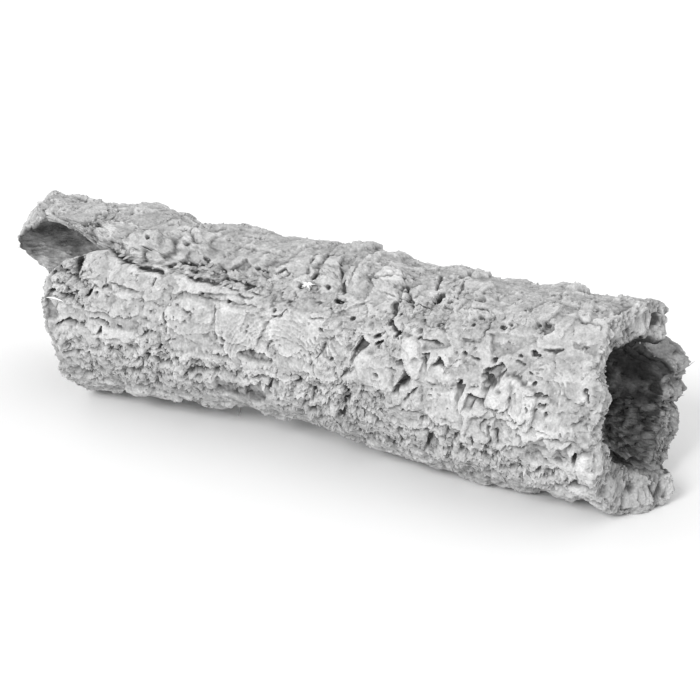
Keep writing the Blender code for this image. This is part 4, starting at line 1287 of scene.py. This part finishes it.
def corkGrainGroup():
    # speckle and mottling of cork about 1, and its pores, from noises at three scales
    group = bpy.data.node_groups.new("corkGrain", "ShaderNodeTree")
    group.interface.new_socket("Vector", in_out="INPUT", socket_type="NodeSocketVector")
    for label, side in (("Speckle", "INPUT"), ("Mottle", "INPUT"), ("Tone", "OUTPUT"), ("Relief", "OUTPUT")):
        group.interface.new_socket(label, in_out=side, socket_type="NodeSocketFloat")
    source = group.nodes.new("NodeGroupInput")
    result = group.nodes.new("NodeGroupOutput")
    vector = source.outputs["Vector"]
    mottle = addNode(group, "ShaderNodeTexNoise", {"Vector": vector, "Scale": finish["mottleScale"],
                                                   "Detail": 6.0, "Roughness": 0.7}).outputs["Fac"]
    speckle = addNode(group, "ShaderNodeTexNoise", {"Vector": vector, "Scale": finish["speckleScale"],
                                                    "Detail": 2.0, "Roughness": 0.6}).outputs["Fac"]
    pores = addNode(group, "ShaderNodeTexVoronoi", {"Vector": vector, "Scale": finish["poreScale"]})
    specks = mathNode(group, "MULTIPLY", mathNode(group, "SUBTRACT", speckle, 0.5), 2.0)
    patchy = mathNode(group, "MULTIPLY", mathNode(group, "SUBTRACT", mottle, 0.5), 2.0)
    tone = mathNode(group, "MULTIPLY_ADD", specks, source.outputs["Speckle"], 1.0)
    tone = mathNode(group, "MULTIPLY_ADD", patchy, source.outputs["Mottle"], tone)
    relief = mathNode(group, "MULTIPLY_ADD", pores.outputs["Distance"], finish["poreShare"], speckle)
    group.links.new(tone, result.inputs["Tone"])
    group.links.new(relief, result.inputs["Relief"])
    return group


def corkFinish(name):
    # grey cork: painted shade in hollows and painted highlights on raised bark, paler on worn plates, with
    # painted shade on the near end's side away from the light, much darker in the bore, and with painted
    # light along the bore's floor and in the far end's hollow
    material, shader = newMaterial(name, finish["roughness"])
    tree = material.node_tree
    shader.inputs["Specular IOR Level"].default_value = finish["specular"]
    coordinates = addNode(tree, "ShaderNodeTexCoord").outputs["Object"]
    grain = addNode(tree, "ShaderNodeGroup", node_tree=corkGrainGroup())
    grain.inputs["Speckle"].default_value = finish["speckleShare"]
    grain.inputs["Mottle"].default_value = finish["mottleShare"]
    tree.links.new(coordinates, grain.inputs["Vector"])
    read = {label: addNode(tree, "ShaderNodeAttribute", attribute_name=label).outputs["Fac"]
            for label in ("inner", "fineShadeAndHighlight", "wide", "crumbly", "pale", "paintedLight")}
    # painted shade in small and wide hollows and painted highlights on raised bark; crumbling bark a little
    # darker
    share = 1.0
    for label in ("fineShadeAndHighlight", "wide", "crumbly"):
        share = mathNode(tree, "MULTIPLY_ADD", read[label], finish[label + "Share"], share)
    least, most = finish["shareLimits"]
    share = mathNode(tree, "MAXIMUM", mathNode(tree, "MINIMUM", share, most), least)
    share = mathNode(tree, "MULTIPLY", share, grain.outputs["Tone"])
    outer = mathNode(tree, "MULTIPLY_ADD", read["pale"], finish["paleShare"], 1.0)
    outer = mathNode(tree, "MULTIPLY", outer, finish["bark"])
    # painted light: the bore is paler along its floor and in the far end's hollow
    bore = mathNode(tree, "MULTIPLY_ADD", read["paintedLight"], finish["paintedLightShare"], 1.0)
    bore = mathNode(tree, "MULTIPLY", bore, finish["bore"])
    base = mathNode(tree, "MULTIPLY_ADD", mathNode(tree, "SUBTRACT", bore, outer), read["inner"], outer)
    grey = mathNode(tree, "MINIMUM", mathNode(tree, "MULTIPLY", base, share), finish["brightest"])
    color = addNode(tree, "ShaderNodeCombineColor", {"Red": grey, "Green": grey, "Blue": grey})
    tree.links.new(color.outputs["Color"], shader.inputs["Base Color"])
    bump = addNode(tree, "ShaderNodeBump", {"Height": grain.outputs["Relief"], "Strength": finish["bump"],
                                            "Distance": finish["bumpDepth"]})
    tree.links.new(bump.outputs["Normal"], shader.inputs["Normal"])
    return material


# Studio: where the camera stands, how it looks, and the lights, in metres, degrees and millimetres of lens.
studio = {
    "azimuth": 27.4,
    "elevation": 23.0,
    "distance": 1.05,
    "lookAt": (0.0275, 0.0, 0.0505),
    "lens": 104.0,
    "sensor": 36.0,
    "floorSize": 30.0,
    "floorGrey": 0.9,
    "floorRoughness": 0.9,
    "worldGrey": 1.0,
    "worldStrength": 0.9,
    "keyStrength": 1.9,
    "keySoftness": 22.0,
    "keyAzimuth": -8.0,
    "keyElevation": 36.0,
}


def direction(azimuth, elevation):
    # from the object towards a place at an angle to the right of the front and an angle above the floor
    turn = math.radians(azimuth)
    rise = math.radians(elevation)
    return Vector((math.sin(turn) * math.cos(rise), -math.cos(turn) * math.cos(rise), math.sin(rise)))


def addFloor():
    # a flat square of pale paper
    half = studio["floorSize"] / 2.0 / mm
    corners = np.array(((-half, -half, 0.0), (half, -half, 0.0), (half, half, 0.0), (-half, half, 0.0)))
    floor = newPiece("studioFloor", corners, np.array(((0, 1, 2, 3),)))
    floor.data.materials.append(newMaterial("floorPaper", studio["floorRoughness"], studio["floorGrey"])[0])


def addLights():
    # a pale sky all round and one soft light from the left
    world = bpy.data.worlds.new("studioWorld")
    world.use_nodes = True
    background = world.node_tree.nodes["Background"]
    background.inputs["Color"].default_value = (studio["worldGrey"],) * 3 + (1.0,)
    background.inputs["Strength"].default_value = studio["worldStrength"]
    bpy.context.scene.world = world
    light = bpy.data.lights.new("keyLight", "SUN")
    light.energy = studio["keyStrength"]
    light.angle = math.radians(studio["keySoftness"])
    lamp = bpy.data.objects.new("keyLight", light)
    towards = direction(studio["keyAzimuth"], studio["keyElevation"])
    lamp.rotation_euler = towards.to_track_quat("Z", "Y").to_euler()
    bpy.context.scene.collection.objects.link(lamp)


def addCamera():
    # the photograph's camera: it stands back from the place it looks at
    camera = bpy.data.objects.new("camera", bpy.data.cameras.new("camera"))
    camera.data.lens = studio["lens"]
    camera.data.sensor_width = studio["sensor"]
    back = direction(studio["azimuth"], studio["elevation"])
    camera.location = Vector(studio["lookAt"]) + studio["distance"] * back
    camera.rotation_mode = "QUATERNION"
    camera.rotation_quaternion = (-back).to_track_quat("-Z", "Y")
    bpy.context.scene.collection.objects.link(camera)
    bpy.context.scene.camera = camera


addCamera()
addLights()
addFloor()
bpy.context.scene.view_settings.view_transform = "Standard"
print("studio made")
corkMaterial = corkFinish("corkBark")
surface, surfaceValues = wallSurface()
print("bark worked out")
addBark(surface, surfaceValues, corkMaterial)
print("bark made")
addFlakes(surface, surfaceValues, corkMaterial)
addCrumbs(surface, surfaceValues, corkMaterial)
addFibres(surface, surfaceValues, corkMaterial)
addTuft(surface, newMaterial("tuft", finish["roughness"], finish["tuft"])[0])
print("loose cork made")
